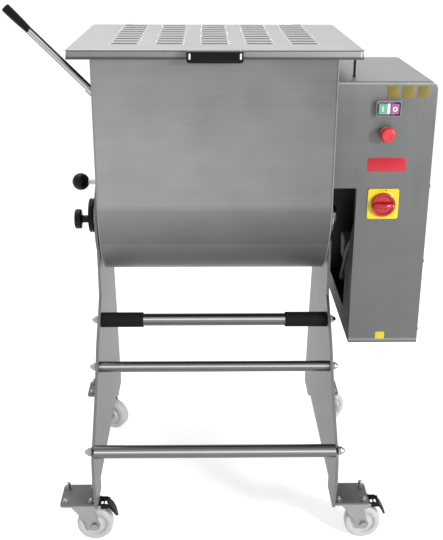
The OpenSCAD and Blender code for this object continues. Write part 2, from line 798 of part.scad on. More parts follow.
gland_z = box_z0 + gland_off;
module cable_gland() {
    home() color("black") difference() {
        union() {
            rod_y(box_back - box_t - gland_in, box_back, gland_thread_r, gland_x, gland_z);
            slab_y(box_back - box_t - gland_in, box_back - box_t) translate([gland_x, gland_z])
                circle(gland_nut_r, $fn = 6);
            slab_y(box_back, box_back + gland_in) translate([gland_x, gland_z]) circle(gland_nut_r, $fn = 6);
            rod_y(box_back, box_back + gland_l, gland_nut_r * 0.8, gland_x, gland_z);
        }
        rod_y(box_back - 2 * gland_l, box_back + 2 * gland_l, gland_r, gland_x, gland_z);
    }
}

// Gearbox on its bracket, motor and terminal box
gear_up = 65;
gear_z0 = axis_h - gear_up;
gear_z1 = axis_h + gear_up;
gear_ring_r = 58;
worm_y = 55;
worm_half = 34;
bracket_t = 4;
bracket_up = 45;
bracket_half = 60;
gear_x0 = half_w + gear_off - gear_half;
gear_x1 = half_w + gear_off + gear_half;
module gear_bracket() {
    home() color("gray") difference() {
        slab_y(-bracket_half, bracket_half) {
            translate([gear_x0 - bracket_t, gear_z0 + 2 * bracket_t])
                square([bracket_t, gear_z1 + bracket_up - gear_z0 - 2 * bracket_t]);
            translate([half_w + box_t, gear_z1 + bracket_up - bracket_t])
                square([gear_x0 - half_w - box_t, bracket_t]);
        }
        rod_x(half_w, gear_x1, shaft_r + seal_t, 0, axis_h);
    }
}
module gearbox() {
    home() color("steelblue") difference() {
        union() {
            rod_x(gear_x0, gear_x1, gear_ring_r, 0, axis_h);
            slab_x(gear_x0 + bracket_t, gear_x1 - bracket_t) translate([worm_y - worm_half, gear_z0])
                square([2 * worm_half, gear_z1 - gear_z0]);
        }
        rod_x(half_w, box_x1, shaft_r + fit, 0, axis_h);
    }
}
motor_l = 224;
motor_flange_t = 8;
cowl_l = 46;
cowl_wall = 2;
fin_count = 20;
fin_h = 5;
fin_t = 3;
pad_half = 22;
motor_z1 = gear_z0;
motor_z0 = motor_z1 - motor_l;
pad_up = 60;
pad_z = motor_z0 + cowl_l + pad_up;
module motor() {
    home() color("steelblue") translate([half_w + gear_off, worm_y, 0]) {
        slab_z(motor_z1 - motor_flange_t, motor_z1) circle(motor_r);
        slab_z(motor_z0, motor_z1) circle(motor_r - fin_h);
        slab_z(motor_z0, motor_z0 + cowl_l) circle(motor_r - cowl_wall);
        slab_z(motor_z0, motor_z1) for (i = [0:fin_count - 1]) rotate(i * 360 / fin_count)
            translate([motor_r / 2, -fin_t / 2]) square([motor_r / 2 - cowl_wall / 2, fin_t]);
        slab_z(pad_z - pad_half, pad_z + pad_half) translate([-motor_r - cowl_wall, -pad_half])
            square([motor_r, 2 * pad_half]);
    }
}
term_t = 28;
term_half = 27;
term_x1 = half_w + gear_off - motor_r - cowl_wall;
module terminal_box() {
    home() color("dimgray") translate([0, worm_y, pad_z]) difference() {
        slab_x(term_x1 - term_t, term_x1) outline_2d(term_half, -term_half, term_half, bolt_r);
        slab_x(term_x1 - term_t - cut, term_x1 - term_t + cut) difference() {
            square(2 * term_half - bolt_r, center = true);
            square(2 * term_half - 2 * bolt_r, center = true);
        }
    }
}

// Switch gear behind the front panel
panel_y = -box_front;
inner_y = -box_front + box_t;
panel_off = 53;
button_down = 53;
stop_down = 104;
switch_down = 253;
panel_x = box_low_x + panel_off;
button_z = box_top - button_down;
estop_z = box_top - stop_down;
switch_z = box_top - switch_down;
block_d = 40;
block_half = 20;
module switch_blocks() {
    home() color("dimgray") slab_y(inner_y, inner_y + block_d) {
        translate([panel_x, button_z]) square([button_w, button_h], center = true);
        translate([panel_x, estop_z]) square(1.4 * block_half, center = true);
        translate([panel_x + switch_off, switch_z]) square(3 * block_half, center = true);
    }
}
switch_off = 3;
button_out = 12;
cap_w = 17;
cap_h = 21;
cap_out = 2;
cap_t = 6;
lamp_w = 7;
cap_x = lamp_w / 2 + cap_w / 2 + gap;
button_corner = 4;
module cap_2d(w, h) { square([w, h], center = true); }
module button_block() {
    home() color("whitesmoke") difference() {
        slab_y(panel_y - button_out, panel_y) translate([panel_x, button_z])
            outline_2d(button_w / 2, -button_h / 2, button_h / 2, button_corner);
        for (s = [-1, 1]) slab_y(panel_y - button_out - cut, panel_y - button_out + cap_t + button_travel)
            translate([panel_x + s * cap_x, button_z]) cap_2d(cap_w, cap_h);
    }
}
module cap(s) {
    slab_y(panel_y - button_out - cap_out, panel_y - button_out - cap_out + cap_t)
        translate([panel_x + s * cap_x, button_z]) cap_2d(cap_w - 2 * gap, cap_h - 2 * gap);
}
module start_button() { home() color("green") cap(-1); }
module stop_button() { home() color("red") cap(1); }
collar_out = 8;
stem_r = 8;
stop_t = 15;
stop_air = 1;
module estop_collar() {
    home() color("gold") slab_y(panel_y - collar_out, panel_y) translate([panel_x, estop_z])
        difference() {
            circle(stop_r - 2 * stop_air);
            circle(stem_r + fit);
        }
}
stop_y = panel_y - collar_out - stop_travel - stop_air;
module estop_head() {
    home() color("red") {
        spin_y(panel_x, stop_y - stop_t, estop_z) polygon([[0, 0], [stop_r / 2, 0], [0.8 * stop_r, 0.13 * stop_t],
            [0.95 * stop_r, 0.33 * stop_t], [stop_r, 0.6 * stop_t], [0.95 * stop_r, 0.85 * stop_t],
            [0.7 * stop_r, stop_t], [0, stop_t]]);
        rod_y(stop_y - stop_air, panel_y - stop_travel - 2 * stop_air, stem_r, panel_x, estop_z);
    }
}
plate_out = 3;
dial_t = 9;
dial_grip_w = 13;
dial_grip_h = 14;
spindle_r = 5;
module switch_plate() {
    home() color("gold") slab_y(panel_y - plate_out, panel_y) translate([panel_x + switch_off, switch_z])
        difference() {
            outline_2d(switch_w / 2, -switch_w / 2, switch_w / 2, button_corner);
            circle(spindle_r + fit);
        }
}
module switch_dial() {
    y = panel_y - plate_out - gap;
    home() color("red") {
        rod_y(y - dial_t, y, dial_r, panel_x + switch_off, switch_z);
        rod_y(y, panel_y - gap, spindle_r, panel_x + switch_off, switch_z);
        slab_y(y - dial_t - dial_grip_h, y - dial_t) translate([panel_x + switch_off, switch_z])
            slot_2d(2 * dial_r - 2 * gap, dial_grip_w);
    }
}

// Cable from the main switch down to the motor's terminal box, on a route chosen by hand
cable_r = 3.5;
cable_sides = 8;
cable_side = [0.3, 1, 0.2];
cable_route = [[350, -138, 723], [350, -138, 712], [346, -134, 700], [336, -122, 684], [324, -100, 668],
    [314, -72, 652], [308, -42, 630], [304, -14, 600], [303, 8, 564], [303, 30, 534], [305, 52, 511],
    [307, 65, 500], [311, 70, 497], [315, 69, 502], [317, 64, 516], [317, 60, 530], [317, 60, 545],
    [317, 60, 558.7]];
function unit(v) = v / norm(v);
function heading(p, i) = unit(p[min(i + 1, len(p) - 1)] - p[max(i - 1, 0)]);
function ring_at(p, i, r, n) =
    let (t = heading(p, i), u = unit(cross(t, cable_side)), v = cross(t, u))
    [for (k = [0:n - 1]) p[i] + r * (cos(360 * k / n) * u + sin(360 * k / n) * v)];
module swept(p, r, n) {
    last = len(p) - 1;
    polyhedron(
        [for (i = [0:last]) each ring_at(p, i, r, n)],
        concat([[for (k = [0:n - 1]) k]],
            [for (i = [0:last - 1], k = [0:n - 1]) each [
                [i * n + k, (i + 1) * n + k, (i + 1) * n + (k + 1) % n],
                [i * n + k, (i + 1) * n + (k + 1) % n, i * n + (k + 1) % n]]],
            [[for (k = [n - 1:-1:0]) last * n + k]]));
}
module motor_cable() { home() color("whitesmoke") swept(cable_route, cable_r, cable_sides); }

// Middle of the whole mixer, which is moved to the origin
far_left = half_w + lever_l * cos(lever_angle);
mid_x = (box_x1 + screw_h - far_left) / 2;
rear_reach = rear_y + (trail + wheel_r - rim_in) * sin(turn_rear_right)
    + (wheel_w / 2 - web_round) * cos(turn_rear_right);
mid_y = (rear_reach - foot_front) / 2;

tub_trough();
tub_ends();
tub_rim();
lid_panel();
lid_handle();
lid_hinges();
tub_hinges();
lid_tongue();
lid_switch();
left_leg();
right_leg();
rest_bar();
middle_bar();
foot_bar();
bar_sleeves();
bar_nuts();
base_plates();
castor_tops();
castor_bolts();
pivot_bushes();
pivot_stubs();
lock_housing();
lock_pin();
lock_ball();
lock_bushes();
clamp_wheel();
clamp_grip();
lever_socket();
lever_tube();
lever_grip();
paddle_shaft();
paddle_blades();
shaft_bearings();
drive_box();
box_cover();
cover_screws();
gear_bracket();
gearbox();
motor();
terminal_box();
motor_cable();
cable_gland();
switch_blocks();
button_block();
start_button();
stop_button();
estop_collar();
estop_head();
switch_plate();
switch_dial();
fork_front_left();
fork_front_right();
fork_rear_left();
fork_rear_right();
wheel_front_left();
wheel_front_right();
wheel_rear_left();
wheel_rear_right();
pedal_left();
pedal_right();
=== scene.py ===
import json
import math

import bmesh
import bpy
import numpy as np
from mathutils import Matrix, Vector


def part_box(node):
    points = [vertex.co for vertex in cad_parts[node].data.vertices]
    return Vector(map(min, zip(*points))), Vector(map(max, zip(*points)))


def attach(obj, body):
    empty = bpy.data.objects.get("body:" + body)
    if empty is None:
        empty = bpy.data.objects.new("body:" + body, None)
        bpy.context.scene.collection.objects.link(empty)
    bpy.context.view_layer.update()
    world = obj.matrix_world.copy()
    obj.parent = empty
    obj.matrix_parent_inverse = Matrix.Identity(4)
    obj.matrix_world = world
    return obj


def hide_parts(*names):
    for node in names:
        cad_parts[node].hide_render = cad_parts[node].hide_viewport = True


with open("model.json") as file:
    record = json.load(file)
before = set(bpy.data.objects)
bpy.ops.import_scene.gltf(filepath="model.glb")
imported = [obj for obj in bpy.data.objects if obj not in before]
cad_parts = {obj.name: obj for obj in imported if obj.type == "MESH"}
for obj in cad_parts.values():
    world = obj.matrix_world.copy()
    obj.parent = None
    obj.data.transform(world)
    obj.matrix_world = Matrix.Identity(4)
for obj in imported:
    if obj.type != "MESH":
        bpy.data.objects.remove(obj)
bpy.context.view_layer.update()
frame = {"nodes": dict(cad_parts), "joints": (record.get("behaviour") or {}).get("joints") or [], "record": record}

bl_info = {
    "name": "Tilting meat mixer",
    "version": (1, 0, 0),
    "blender": (4, 5, 0),
    "location": "3D View > Sidebar > Mixer",
    "description": "Finishes and moulded pieces of a tilting meat mixer, laid round its construction",
    "category": "Object",
}

MM = 0.001
BODIES = frame["record"]["behaviour"]["bodies"]
BODY_OF = {node: body for body, nodes in BODIES.items() for node in nodes}
SLOT_OF = {row["node"]: row["material_slot"] for row in frame["record"]["subparts"]}
JOINTS = {joint["name"]: joint for joint in frame["joints"]}
CORNERS = ("fl", "fr", "rl", "rr")
CORNER_WORDS = {"fl": "front_left", "fr": "front_right", "rl": "rear_left", "rr": "rear_right"}


def linear(code):
    """An sRGB hex value such as #8f9091 as linear red, green, blue and alpha."""
    parts = [int(code[i:i + 2], 16) / 255 for i in (1, 3, 5)]
    return tuple(p / 12.92 if p <= 0.04045 else ((p + 0.055) / 1.055) ** 2.4 for p in parts) + (1.0,)


def colour(name, description, code):
    """A colour that a user may change, written as an sRGB hex value."""
    return bpy.props.FloatVectorProperty(
        name=name, description=description, subtype="COLOR", size=4, min=0, max=1, default=linear(code))


def length(name, description, millimetres):
    """A length that a user may change, written in millimetres."""
    return bpy.props.FloatProperty(
        name=name, description=description, unit="LENGTH", precision=4, default=millimetres * MM)


class MixerMetals(bpy.types.PropertyGroup):
    """Colours of the bare and painted metals."""
    # the tub, the lid and the box are one steel: the lid's lighter colour is painted light, and the tub's and the
    # box's are the brightest of their painted shade
    tub: colour("Tub steel", "Brushed sheet of the trough, at its brightest", "#969797")
    lid: colour("Lid steel", "Brushed sheet of the lid and the rim", "#b4b4b4")
    box: colour("Box steel", "Brushed sheet of the drive box, at its brightest", "#c0c1c1")
    leg: colour("Leg steel", "Ground plate of the legs", "#787878")
    end: colour("End plate steel", "Brushed plates at the tub's two ends", "#858686")
    roll: colour("Rolls", "Polished rims of the lid's slots", "#a8a8a8")
    # painted shade: the dark colour of the slots' cut edges stands in for the shade inside the slots
    cut: colour("Cut edge", "Edges of the lid's slots, browned by the cutting", "#3b3838")
    # the base plates' darker colour is a painted reflection of the machine above them
    plate: colour("Base steel", "Darker plates over the castors", "#6d6b6b")
    # the bar's colour is the brightest of its painted reflection bands
    bar: colour("Bar steel", "Polished round bar, at its brightest band", "#f2f0ee")
    zinc: colour("Zinc", "Zinc plated forks and brackets", "#a2a3a4")
    fitting: colour("Fittings", "Stainless bolts, nuts, pins and hinges", "#a9a9a9")
    # the near-white of the studs is a painted highlight
    stud: colour("Bright studs", "Polished ends, pins and bushes", "#f2f2f2")
    # the motor paint is a real paint colour, darkened as painted shade of the drive box's inside
    paint: colour("Motor paint", "Paint of the motor and the gearbox", "#3c4147")
    bronze: colour("Bearing bronze", "Bearings of the paddle shaft", "#b59a63")


class MixerPlastics(bpy.types.PropertyGroup):
    """Colours of the plastics and the rubber."""
    black: colour("Black phenolic", "Knobs, handles and the lever's grip", "#0e0c0c")
    rubber: colour("Rubber", "Sleeves of the rest bar", "#221e1f")
    nylon: colour("Nylon", "Castor wheels", "#d2d1cf")
    grey: colour("Grey plastic", "Terminal box and switch blocks", "#5b5c5e")
    cable: colour("Cable sheath", "Cable inside the drive box", "#c9c8c6")
    cover: colour("Button cover", "Milky cover round the push buttons", "#9c9aa0")
    green: colour("Start green", "Cap of the start button", "#74b39f")
    pink: colour("Stop red", "Cap of the stop button", "#ad639a")
    white: colour("White marks", "Marks on the caps and the lamp", "#f4f1f3")
    red: colour("Mushroom red", "Stop mushroom", "#da3742")
    dial: colour("Dial red", "Dial of the main switch", "#b80d16")
    yellow: colour("Plate yellow", "Plate of the main switch", "#f0d616")
    notice: colour("Blank notice", "Small blank plate low on the box", "#dcc81e")
    label: colour("Blank label", "Blank labels on the box", "#7d6f22")
    badge: colour("Blank badge", "Blank badge on the box", "#c20f2a")


class MixerSizes(bpy.types.PropertyGroup):
    """Sizes of the details that the construction leaves plain."""
    sheet_edge: length("Sheet edge", "Rounding of sheet metal edges", 1.0)
    plate_edge: length("Plate edge", "Rounding of plate and bracket edges", 0.5)
    slot_length: length("Slot length", "Length of a slot in the lid", 53)
    slot_width: length("Slot width", "Width of a slot in the lid", 13)
    slot_pitch_x: length("Column pitch", "Distance between the columns of slots", 90)
    slot_pitch_y: length("Row pitch", "Distance between the rows of slots", 42.9)
    slot_first: length("First row", "First row of slots from the lid's front edge", 97)
    slot_columns: bpy.props.IntProperty(name="Columns", description="Columns of slots", default=5)
    slot_rows: bpy.props.IntProperty(name="Rows", description="Rows of slots", default=9)
    lid_fold: length("Lid fold", "Outer radius of the folds round the lid", 2.4)
    grain: length("Grain", "Width of the brushed lines, drawn coarse enough to show", 2.4)


class MixerStage(bpy.types.PropertyGroup):
    """Floor and lamps."""
    floor: colour("Floor", "Plain pale floor", "#f1f1f1")
    world: bpy.props.FloatProperty(name="World", description="Strength of the even light", default=0.48)
    glow: bpy.props.FloatProperty(name="Floor glow", description="Lift of the floor where it is seen",
                                  default=0.55)
    key: bpy.props.FloatProperty(name="Key lamp", description="Power of the lamp at the right", unit="POWER",
                                 default=88)
    top: bpy.props.FloatProperty(name="Top lamp", description="Power of the lamp overhead", unit="POWER",
                                 default=30)


GROUPS = {"mixer_metals": MixerMetals, "mixer_plastics": MixerPlastics, "mixer_sizes": MixerSizes,
          "mixer_stage": MixerStage}


def corners(node):
    """Lowest and highest corner of a construction piece as numpy arrays."""
    low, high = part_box(node)
    return np.array(low), np.array(high)


def middle(node):
    """Centre of a construction piece's box."""
    low, high = corners(node)
    return (low + high) / 2


def axes(z, x=(1, 0, 0)):
    """Matrix whose columns are unit directions: z as given, x as near its hint as it can be."""
    z = np.array(z, float) / np.linalg.norm(z)
    x = np.array(x, float) - np.dot(x, z) * z
    x /= np.linalg.norm(x)
    return np.column_stack([x, np.cross(z, x), z])


# directions of a piece whose own Z points up, to the front and to the left
UPRIGHT = np.eye(3)
TO_FRONT = axes((0, -1, 0))
TO_LEFT = axes((-1, 0, 0), (0, 1, 0))


def quads(rows, columns):
    """Faces of a grid of rows whose columns run round and close."""
    r, c = np.meshgrid(np.arange(rows - 1), np.arange(columns), indexing="ij")
    n = (c + 1) % columns
    grid = np.stack([r * columns + c, r * columns + n, (r + 1) * columns + n, (r + 1) * columns + c], axis=-1)
    return grid.reshape(-1, 4).tolist()


def shell(rings):
    """Closed surface through rings of points: (rings, points, 3), with a flat cap at both ends."""
    count, around, _ = rings.shape
    faces = quads(count, around)
    faces.append(list(range(around))[::-1])
    faces.append(list(range((count - 1) * around, count * around)))
    return rings.reshape(-1, 3), faces


def loop_shell(rings):
    """Surface through rings of points whose last ring joins the first."""
    count, around, _ = rings.shape
    faces = np.array(quads(count + 1, around))
    return rings.reshape(-1, 3), (faces % (count * around)).tolist()


def circle(radius, steps=40):
    """Outline of a circle: its radius less the inset, times (cos, sin) of an even run of angles."""
    t = np.linspace(0, 2 * np.pi, steps, endpoint=False)

    def outline(inset):
        return np.column_stack([np.cos(t), np.sin(t)]) * (radius - inset)
    return outline


def round_rectangle(width, height, radius, steps=8):
    """Outline of a rectangle with quarter circle corners; an inset draws it in and keeps its centres."""
    least = 0.02 * MM

    def outline(inset):
        r = max(radius - inset, least)
        cx, cy = width / 2 - max(radius, inset), height / 2 - max(radius, inset)
        t = np.concatenate([np.linspace(0, np.pi / 2, steps) + q * np.pi / 2 for q in range(4)])
        sx = np.repeat([1, -1, -1, 1], steps)
        sy = np.repeat([1, 1, -1, -1], steps)
        return np.column_stack([sx * cx + r * np.cos(t), sy * cy + r * np.sin(t)])
    return outline


def hexagon(across, steps=72):
    """Angles and radii of a hexagon: half the width across flats over the cosine of the angle to the flat."""
    t = np.linspace(0, 2 * np.pi, steps, endpoint=False)
    flat = across / 2 / np.cos((t + np.pi / 6) % (np.pi / 3) - np.pi / 6)
    return t, flat


def stack(outline, levels):
    """Rings of one outline at levels of (inset, height)."""
    flat = [(outline(inset), z) for inset, z in levels]
    return np.array([np.column_stack([points, np.full(len(points), z)]) for points, z in flat])


def rounded(low, high, radius, steps=6, bottom=True):
    """Levels of a slab whose edges are quarter circles: inset r(1 - sin t), height r(1 - cos t)."""
    t = np.linspace(0, np.pi / 2, steps)
    inset, rise = radius * (1 - np.sin(t)), radius * (1 - np.cos(t))
    start = np.column_stack([inset, low + rise]) if bottom else np.array([[0, low]])
    return np.concatenate([start, np.column_stack([inset, high - rise])[::-1]])


def lathe(profile, steps=72):
    """Surface of revolution about Z: (r cos t, r sin t, z) for the profile's points (r, z)."""
    t = np.linspace(0, 2 * np.pi, steps, endpoint=False)
    profile = np.array(profile, float)
    r, z = profile[:, 0, None], profile[:, 1, None]
    return np.stack([r * np.cos(t), r * np.sin(t), np.broadcast_to(z, (len(profile), steps))], axis=-1)


def arc(cx, cz, radius, start, end, steps=8):
    """Points of an arc in (radius, height): its centre plus its radius times (cos, sin), in degrees."""
    t = np.radians(np.linspace(start, end, steps))
    return np.column_stack([cx + radius * np.cos(t), cz + radius * np.sin(t)]).tolist()


def placed(rings, origin, directions):
    """Rings turned by a matrix of directions and moved to a place."""
    return rings @ np.asarray(directions).T + np.asarray(origin)


def seated(rings, origin, directions=UPRIGHT):
    """Closed surface through rings of points, turned and moved to its place."""
    return shell(placed(rings, origin, directions))


def carried(outline, path, up=(0, 0, 1)):
    """A profile carried along a path, square to it: each point of the path plus the profile's first value
    along its side and its second along its rise, which is kept as near up as it can be.
    """
    path = np.array(path, float)
    run = np.gradient(path, axis=0)
    run /= np.linalg.norm(run, axis=1)[:, None]
    side = np.cross(run, up)
    side /= np.linalg.norm(side, axis=1)[:, None]
    rise = np.cross(side, run)
    across, over = outline[None, :, 0, None], outline[None, :, 1, None]
    return path[:, None] + across * side[:, None] + over * rise[:, None]


SMOOTH_BELOW = math.radians(35)
WELD, SLIVER = 0.002 * MM, 0.001 * MM


def piece(name, shells, material, body, replaced=(), slot=None):
    """Joins shells of (points, faces) into one object at the origin, closed and facing outwards."""
    points, faces, first = [], [], 0
    for p, f in shells:
        points.append(np.asarray(p, float))
        faces += [[i + first for i in face] for face in f]
        first += len(p)
    mesh = bpy.data.meshes.new(name)
    mesh.from_pydata(np.concatenate(points).tolist(), [], faces)
    bm = bmesh.new()
    bm.from_mesh(mesh)
    bmesh.ops.remove_doubles(bm, verts=bm.verts, dist=WELD)
    bmesh.ops.dissolve_degenerate(bm, edges=bm.edges, dist=SLIVER)
    bmesh.ops.recalc_face_normals(bm, faces=bm.faces)
    bm.to_mesh(mesh)
    bm.free()
    return dress(bpy.data.objects.new(name, mesh), material, body, replaced, slot)


def dress(item, material, body, replaced=(), slot=None):
    """Links an object, shades it smooth up to an angle, gives it its finish and puts it on its body."""
    bpy.context.scene.collection.objects.link(item)
    mesh = item.data
    mesh.polygons.foreach_set("use_smooth", np.ones(len(mesh.polygons), bool))
    mesh.set_sharp_from_angle(angle=SMOOTH_BELOW)
    mesh.materials.clear()
    mesh.materials.append(material)
    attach(item, body)
    if replaced:
        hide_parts(*replaced)
        slot = slot or SLOT_OF[replaced[0]]
    return item


def softened(node, material, width):
    """Copy of a construction piece: facets merged into flat faces and its edges rounded by a bevel."""
    flat_below, sharp_above = math.radians(0.4), math.radians(40)
    bm = bmesh.new()
    bm.from_mesh(frame["nodes"][node].data)
    bmesh.ops.remove_doubles(bm, verts=bm.verts, dist=WELD)
    bmesh.ops.dissolve_limit(bm, angle_limit=flat_below, verts=bm.verts, edges=bm.edges)
    merged = bpy.data.meshes.new(node + "_merged")
    bm.to_mesh(merged)
    bm.free()
    mesh = bpy.data.meshes.new(node + "_edges")
    mesh.from_pydata([v.co[:] for v in merged.vertices], [], [f.vertices[:] for f in merged.polygons])
    bpy.data.meshes.remove(merged)
    item = dress(bpy.data.objects.new(node + "_edges", mesh), material, BODY_OF[node], [node])
    bevel = item.modifiers.new("edges", "BEVEL")
    bevel.width = width
    bevel.segments = 2
    bevel.limit_method = "ANGLE"
    bevel.angle_limit = sharp_above
    flat = item.modifiers.new("flat_faces", "WEIGHTED_NORMAL")
    flat.keep_sharp = False
    return item


def add(tree, kind, links=None, **settings):
    """Adds a node, sets its values and links its inputs, and returns it."""
    node = tree.nodes.new(kind)
    for key, value in settings.items():
        setattr(node, key, value)
    for socket, source in (links or {}).items():
        target = node.inputs[socket]
        if isinstance(source, bpy.types.NodeSocket):
            tree.links.new(source, target)
        else:
            target.default_value = source
    return node


def finish_tree(name, colour_value, metallic, roughness, **sockets):
    """New material named for its finish, with its tree, its surface node and its Object coordinates."""
    material = bpy.data.materials.new(name)
    material.use_nodes = True
    tree = material.node_tree
    surface = tree.nodes["Principled BSDF"]
    surface.inputs["Base Color"].default_value = colour_value
    surface.inputs["Metallic"].default_value = metallic
    surface.inputs["Roughness"].default_value = roughness
    for key, value in sockets.items():
        surface.inputs[key.replace("_", " ")].default_value = value
    place = add(tree, "ShaderNodeTexCoord").outputs["Object"]
    return material, tree, surface, place


def painted_shading_ramp(tree, value, stops):
    """Grey of painted shade that follows a value, such as the height above the floor, through (value, grey) stops.
    """
    low, high = stops[0][0], stops[-1][0]
    share = add(tree, "ShaderNodeMapRange", {"Value": value, "From Min": low, "From Max": high}).outputs[0]
    node = add(tree, "ShaderNodeValToRGB", {"Fac": share})
    elements = node.color_ramp.elements
    for stop, grey in stops[1:-1]:
        elements.new((stop - low) / (high - low)).color = (grey, grey, grey, 1)
    for element, (_, grey) in ((elements[0], stops[0]), (elements[-1], stops[-1])):
        element.color = (grey, grey, grey, 1)
    return node.outputs["Color"]


def painted_shade_inside(tree, place, box, value):
    """Grey of painted shade that is 1 outside a box of two corners and a value inside it."""
    low, high = box
    centre, half = tuple((low + high) / 2), tuple((high - low) / 2)
    off = add(tree, "ShaderNodeVectorMath", {0: place, 1: centre}, operation="SUBTRACT").outputs[0]
    off = add(tree, "ShaderNodeVectorMath", {0: off}, operation="ABSOLUTE").outputs[0]
    off = add(tree, "ShaderNodeVectorMath", {0: off, 1: half}, operation="DIVIDE").outputs[0]
    parts = add(tree, "ShaderNodeSeparateXYZ", {0: off}).outputs
    most = add(tree, "ShaderNodeMath", {0: parts[0], 1: parts[1]}, operation="MAXIMUM").outputs[0]
    most = add(tree, "ShaderNodeMath", {0: most, 1: parts[2]}, operation="MAXIMUM").outputs[0]
    outside = add(tree, "ShaderNodeMath", {0: most, 1: 1.0}, operation="GREATER_THAN").outputs[0]
    return add(tree, "ShaderNodeMapRange", {"Value": outside, "To Min": value, "To Max": 1.0}).outputs[0]


def shade_of(tree, colour_value, amount, factor, painted_shades=()):
    """Colour that runs from darker to lighter by an amount as a factor goes from 0 to 1, times any painted shades.
    """
    dark = tuple(c * (1 - amount) for c in colour_value[:3]) + (1,)
    light = tuple(min(1, c * (1 + amount)) for c in colour_value[:3]) + (1,)
    shade = add(tree, "ShaderNodeMix", {0: factor, 6: dark, 7: light}, data_type="RGBA").outputs[2]
    for grey in painted_shades:
        shade = add(tree, "ShaderNodeMix", {0: 1.0, 6: shade, 7: grey}, data_type="RGBA",
                    blend_type="MULTIPLY").outputs[2]
    return shade


def skin(tree, surface, shade, factor, roughness, relief, strength, depth):
    """Gives a surface its shade, a roughness that a factor takes from one value to another, and a relief."""
    smooth, rough = roughness
    spread = add(tree, "ShaderNodeMapRange", {"Value": factor, "To Min": smooth, "To Max": rough})
    bump = add(tree, "ShaderNodeBump", {"Strength": strength, "Distance": depth, "Height": relief})
    tree.links.new(shade, surface.inputs["Base Color"])
    tree.links.new(spread.outputs[0], surface.inputs["Roughness"])
    tree.links.new(bump.outputs[0], surface.inputs["Normal"])


def brushed_steel(name, colour_value, across, grain, roughness=0.42, patch=70 * MM, dull=0.1,
                  heights=None, shade_widths=None, inside=None):
    """Brushed stainless sheet: satin grey with fine straight lines, and faint wide patches from handling.

    The lines vary fast along the axes in across and slowly along the others. Real grit lines are 0.1 mm wide,
    which is too fine to show, so they are drawn as wide as grain says. Painted shade follows the height or the
    width where stops for them are given, as it does where the sheet turns away from what it mirrors, and
    painted shade darkens the sheet inside a box of two corners.
    """
    material, tree, surface, place = finish_tree(name, colour_value, 0.8, roughness)
    stretch, strength, depth = 90, 0.09, 0.2 * MM
    run = [1 / grain if axis in across else 1 / (stretch * grain) for axis in "xyz"]
    lined = add(tree, "ShaderNodeMapping", {"Vector": place, "Scale": run}).outputs[0]
    lines = add(tree, "ShaderNodeTexNoise",
                {"Vector": lined, "Scale": 1, "Detail": 3, "Roughness": 0.7}).outputs[0]
    patches = add(tree, "ShaderNodeTexNoise", {"Vector": place, "Scale": 1 / patch, "Detail": 3}).outputs[0]
    both = add(tree, "ShaderNodeMath", {0: lines, 1: patches}, operation="ADD").outputs[0]
    half = add(tree, "ShaderNodeMath", {0: both, 1: 0.5}, operation="MULTIPLY").outputs[0]
    factor = add(tree, "ShaderNodeMapRange", {"Value": half, "To Min": -0.8, "To Max": 1.8}).outputs[0]
    # painted shade: greys by height, by width and inside a box darken the colour in place of light
    painted_shades = []
    for axis, stops in (("Z", heights), ("X", shade_widths)):
        if stops:
            along = add(tree, "ShaderNodeSeparateXYZ", {0: place}).outputs[axis]
            painted_shades.append(painted_shading_ramp(tree, along, stops))
    if inside:
        painted_shades.append(painted_shade_inside(tree, place, inside, 0.01))
    shade = shade_of(tree, colour_value, dull, factor, painted_shades)
    skin(tree, surface, shade, half, (roughness - 0.14, roughness + 0.14), lines, strength, depth)
    return material


# painted reflection bands that a polished bar shows round its skin, by the cosine of the angle between the skin
# and a direction
PAINTED_BAR_REFLECTIONS = [(-1, 0.08), (-0.72, 0.08), (-0.56, 0.19), (0, 0.17), (0.24, 0.22), (0.38, 0.8), (0.46, 1),
             (0.56, 0.34), (0.76, 0.17), (0.86, 0.05), (0.93, 0.13), (1, 0.14)]
PAINTED_LEVER_REFLECTIONS = [(-1, 0.03), (-0.74, 0.04), (-0.6, 0.5), (-0.34, 0.75), (-0.1, 0.4), (0.1, 0.32), (0.26, 0.85),
               (0.44, 0.7), (0.62, 0.25), (0.72, 0.02), (1, 0.02)]


def polished_bar(name, colour_value, roughness=0.2, bands=PAINTED_BAR_REFLECTIONS, across=(0, 0, 1)):
    """Ground and polished round stainless bar: bright, with fine rings from turning and a few dull rubs.

    A polished bar shows its surroundings as bands along it, so its colour carries painted reflection bands
    that follow how far its skin faces the direction given as across: up for a bar that lies, up and to the
    right for one that leans.
    """
    material, tree, surface, place = finish_tree(name, colour_value, 0.9, roughness)
    ring, rub, strength, depth = 0.8 * MM, 30 * MM, 0.04, 0.1 * MM
    rings = add(tree, "ShaderNodeMapping", {"Vector": place, "Scale": [1 / ring, 12, 12]}).outputs[0]
    turned = add(tree, "ShaderNodeTexNoise", {"Vector": rings, "Scale": 1, "Detail": 2}).outputs[0]
    rubs = add(tree, "ShaderNodeTexNoise", {"Vector": place, "Scale": 1 / rub, "Detail": 4}).outputs[0]
    both = add(tree, "ShaderNodeMath", {0: turned, 1: rubs}, operation="MULTIPLY").outputs[0]
    normal = add(tree, "ShaderNodeTexCoord").outputs["Normal"]
    facing = add(tree, "ShaderNodeVectorMath", {0: normal, 1: across}, operation="DOT_PRODUCT")
    shade = shade_of(tree, colour_value, 0.06, rubs, [painted_shading_ramp(tree, facing.outputs["Value"], bands)])
    skin(tree, surface, shade, both, (roughness - 0.06, roughness + 0.22), turned, strength, depth)
    return material


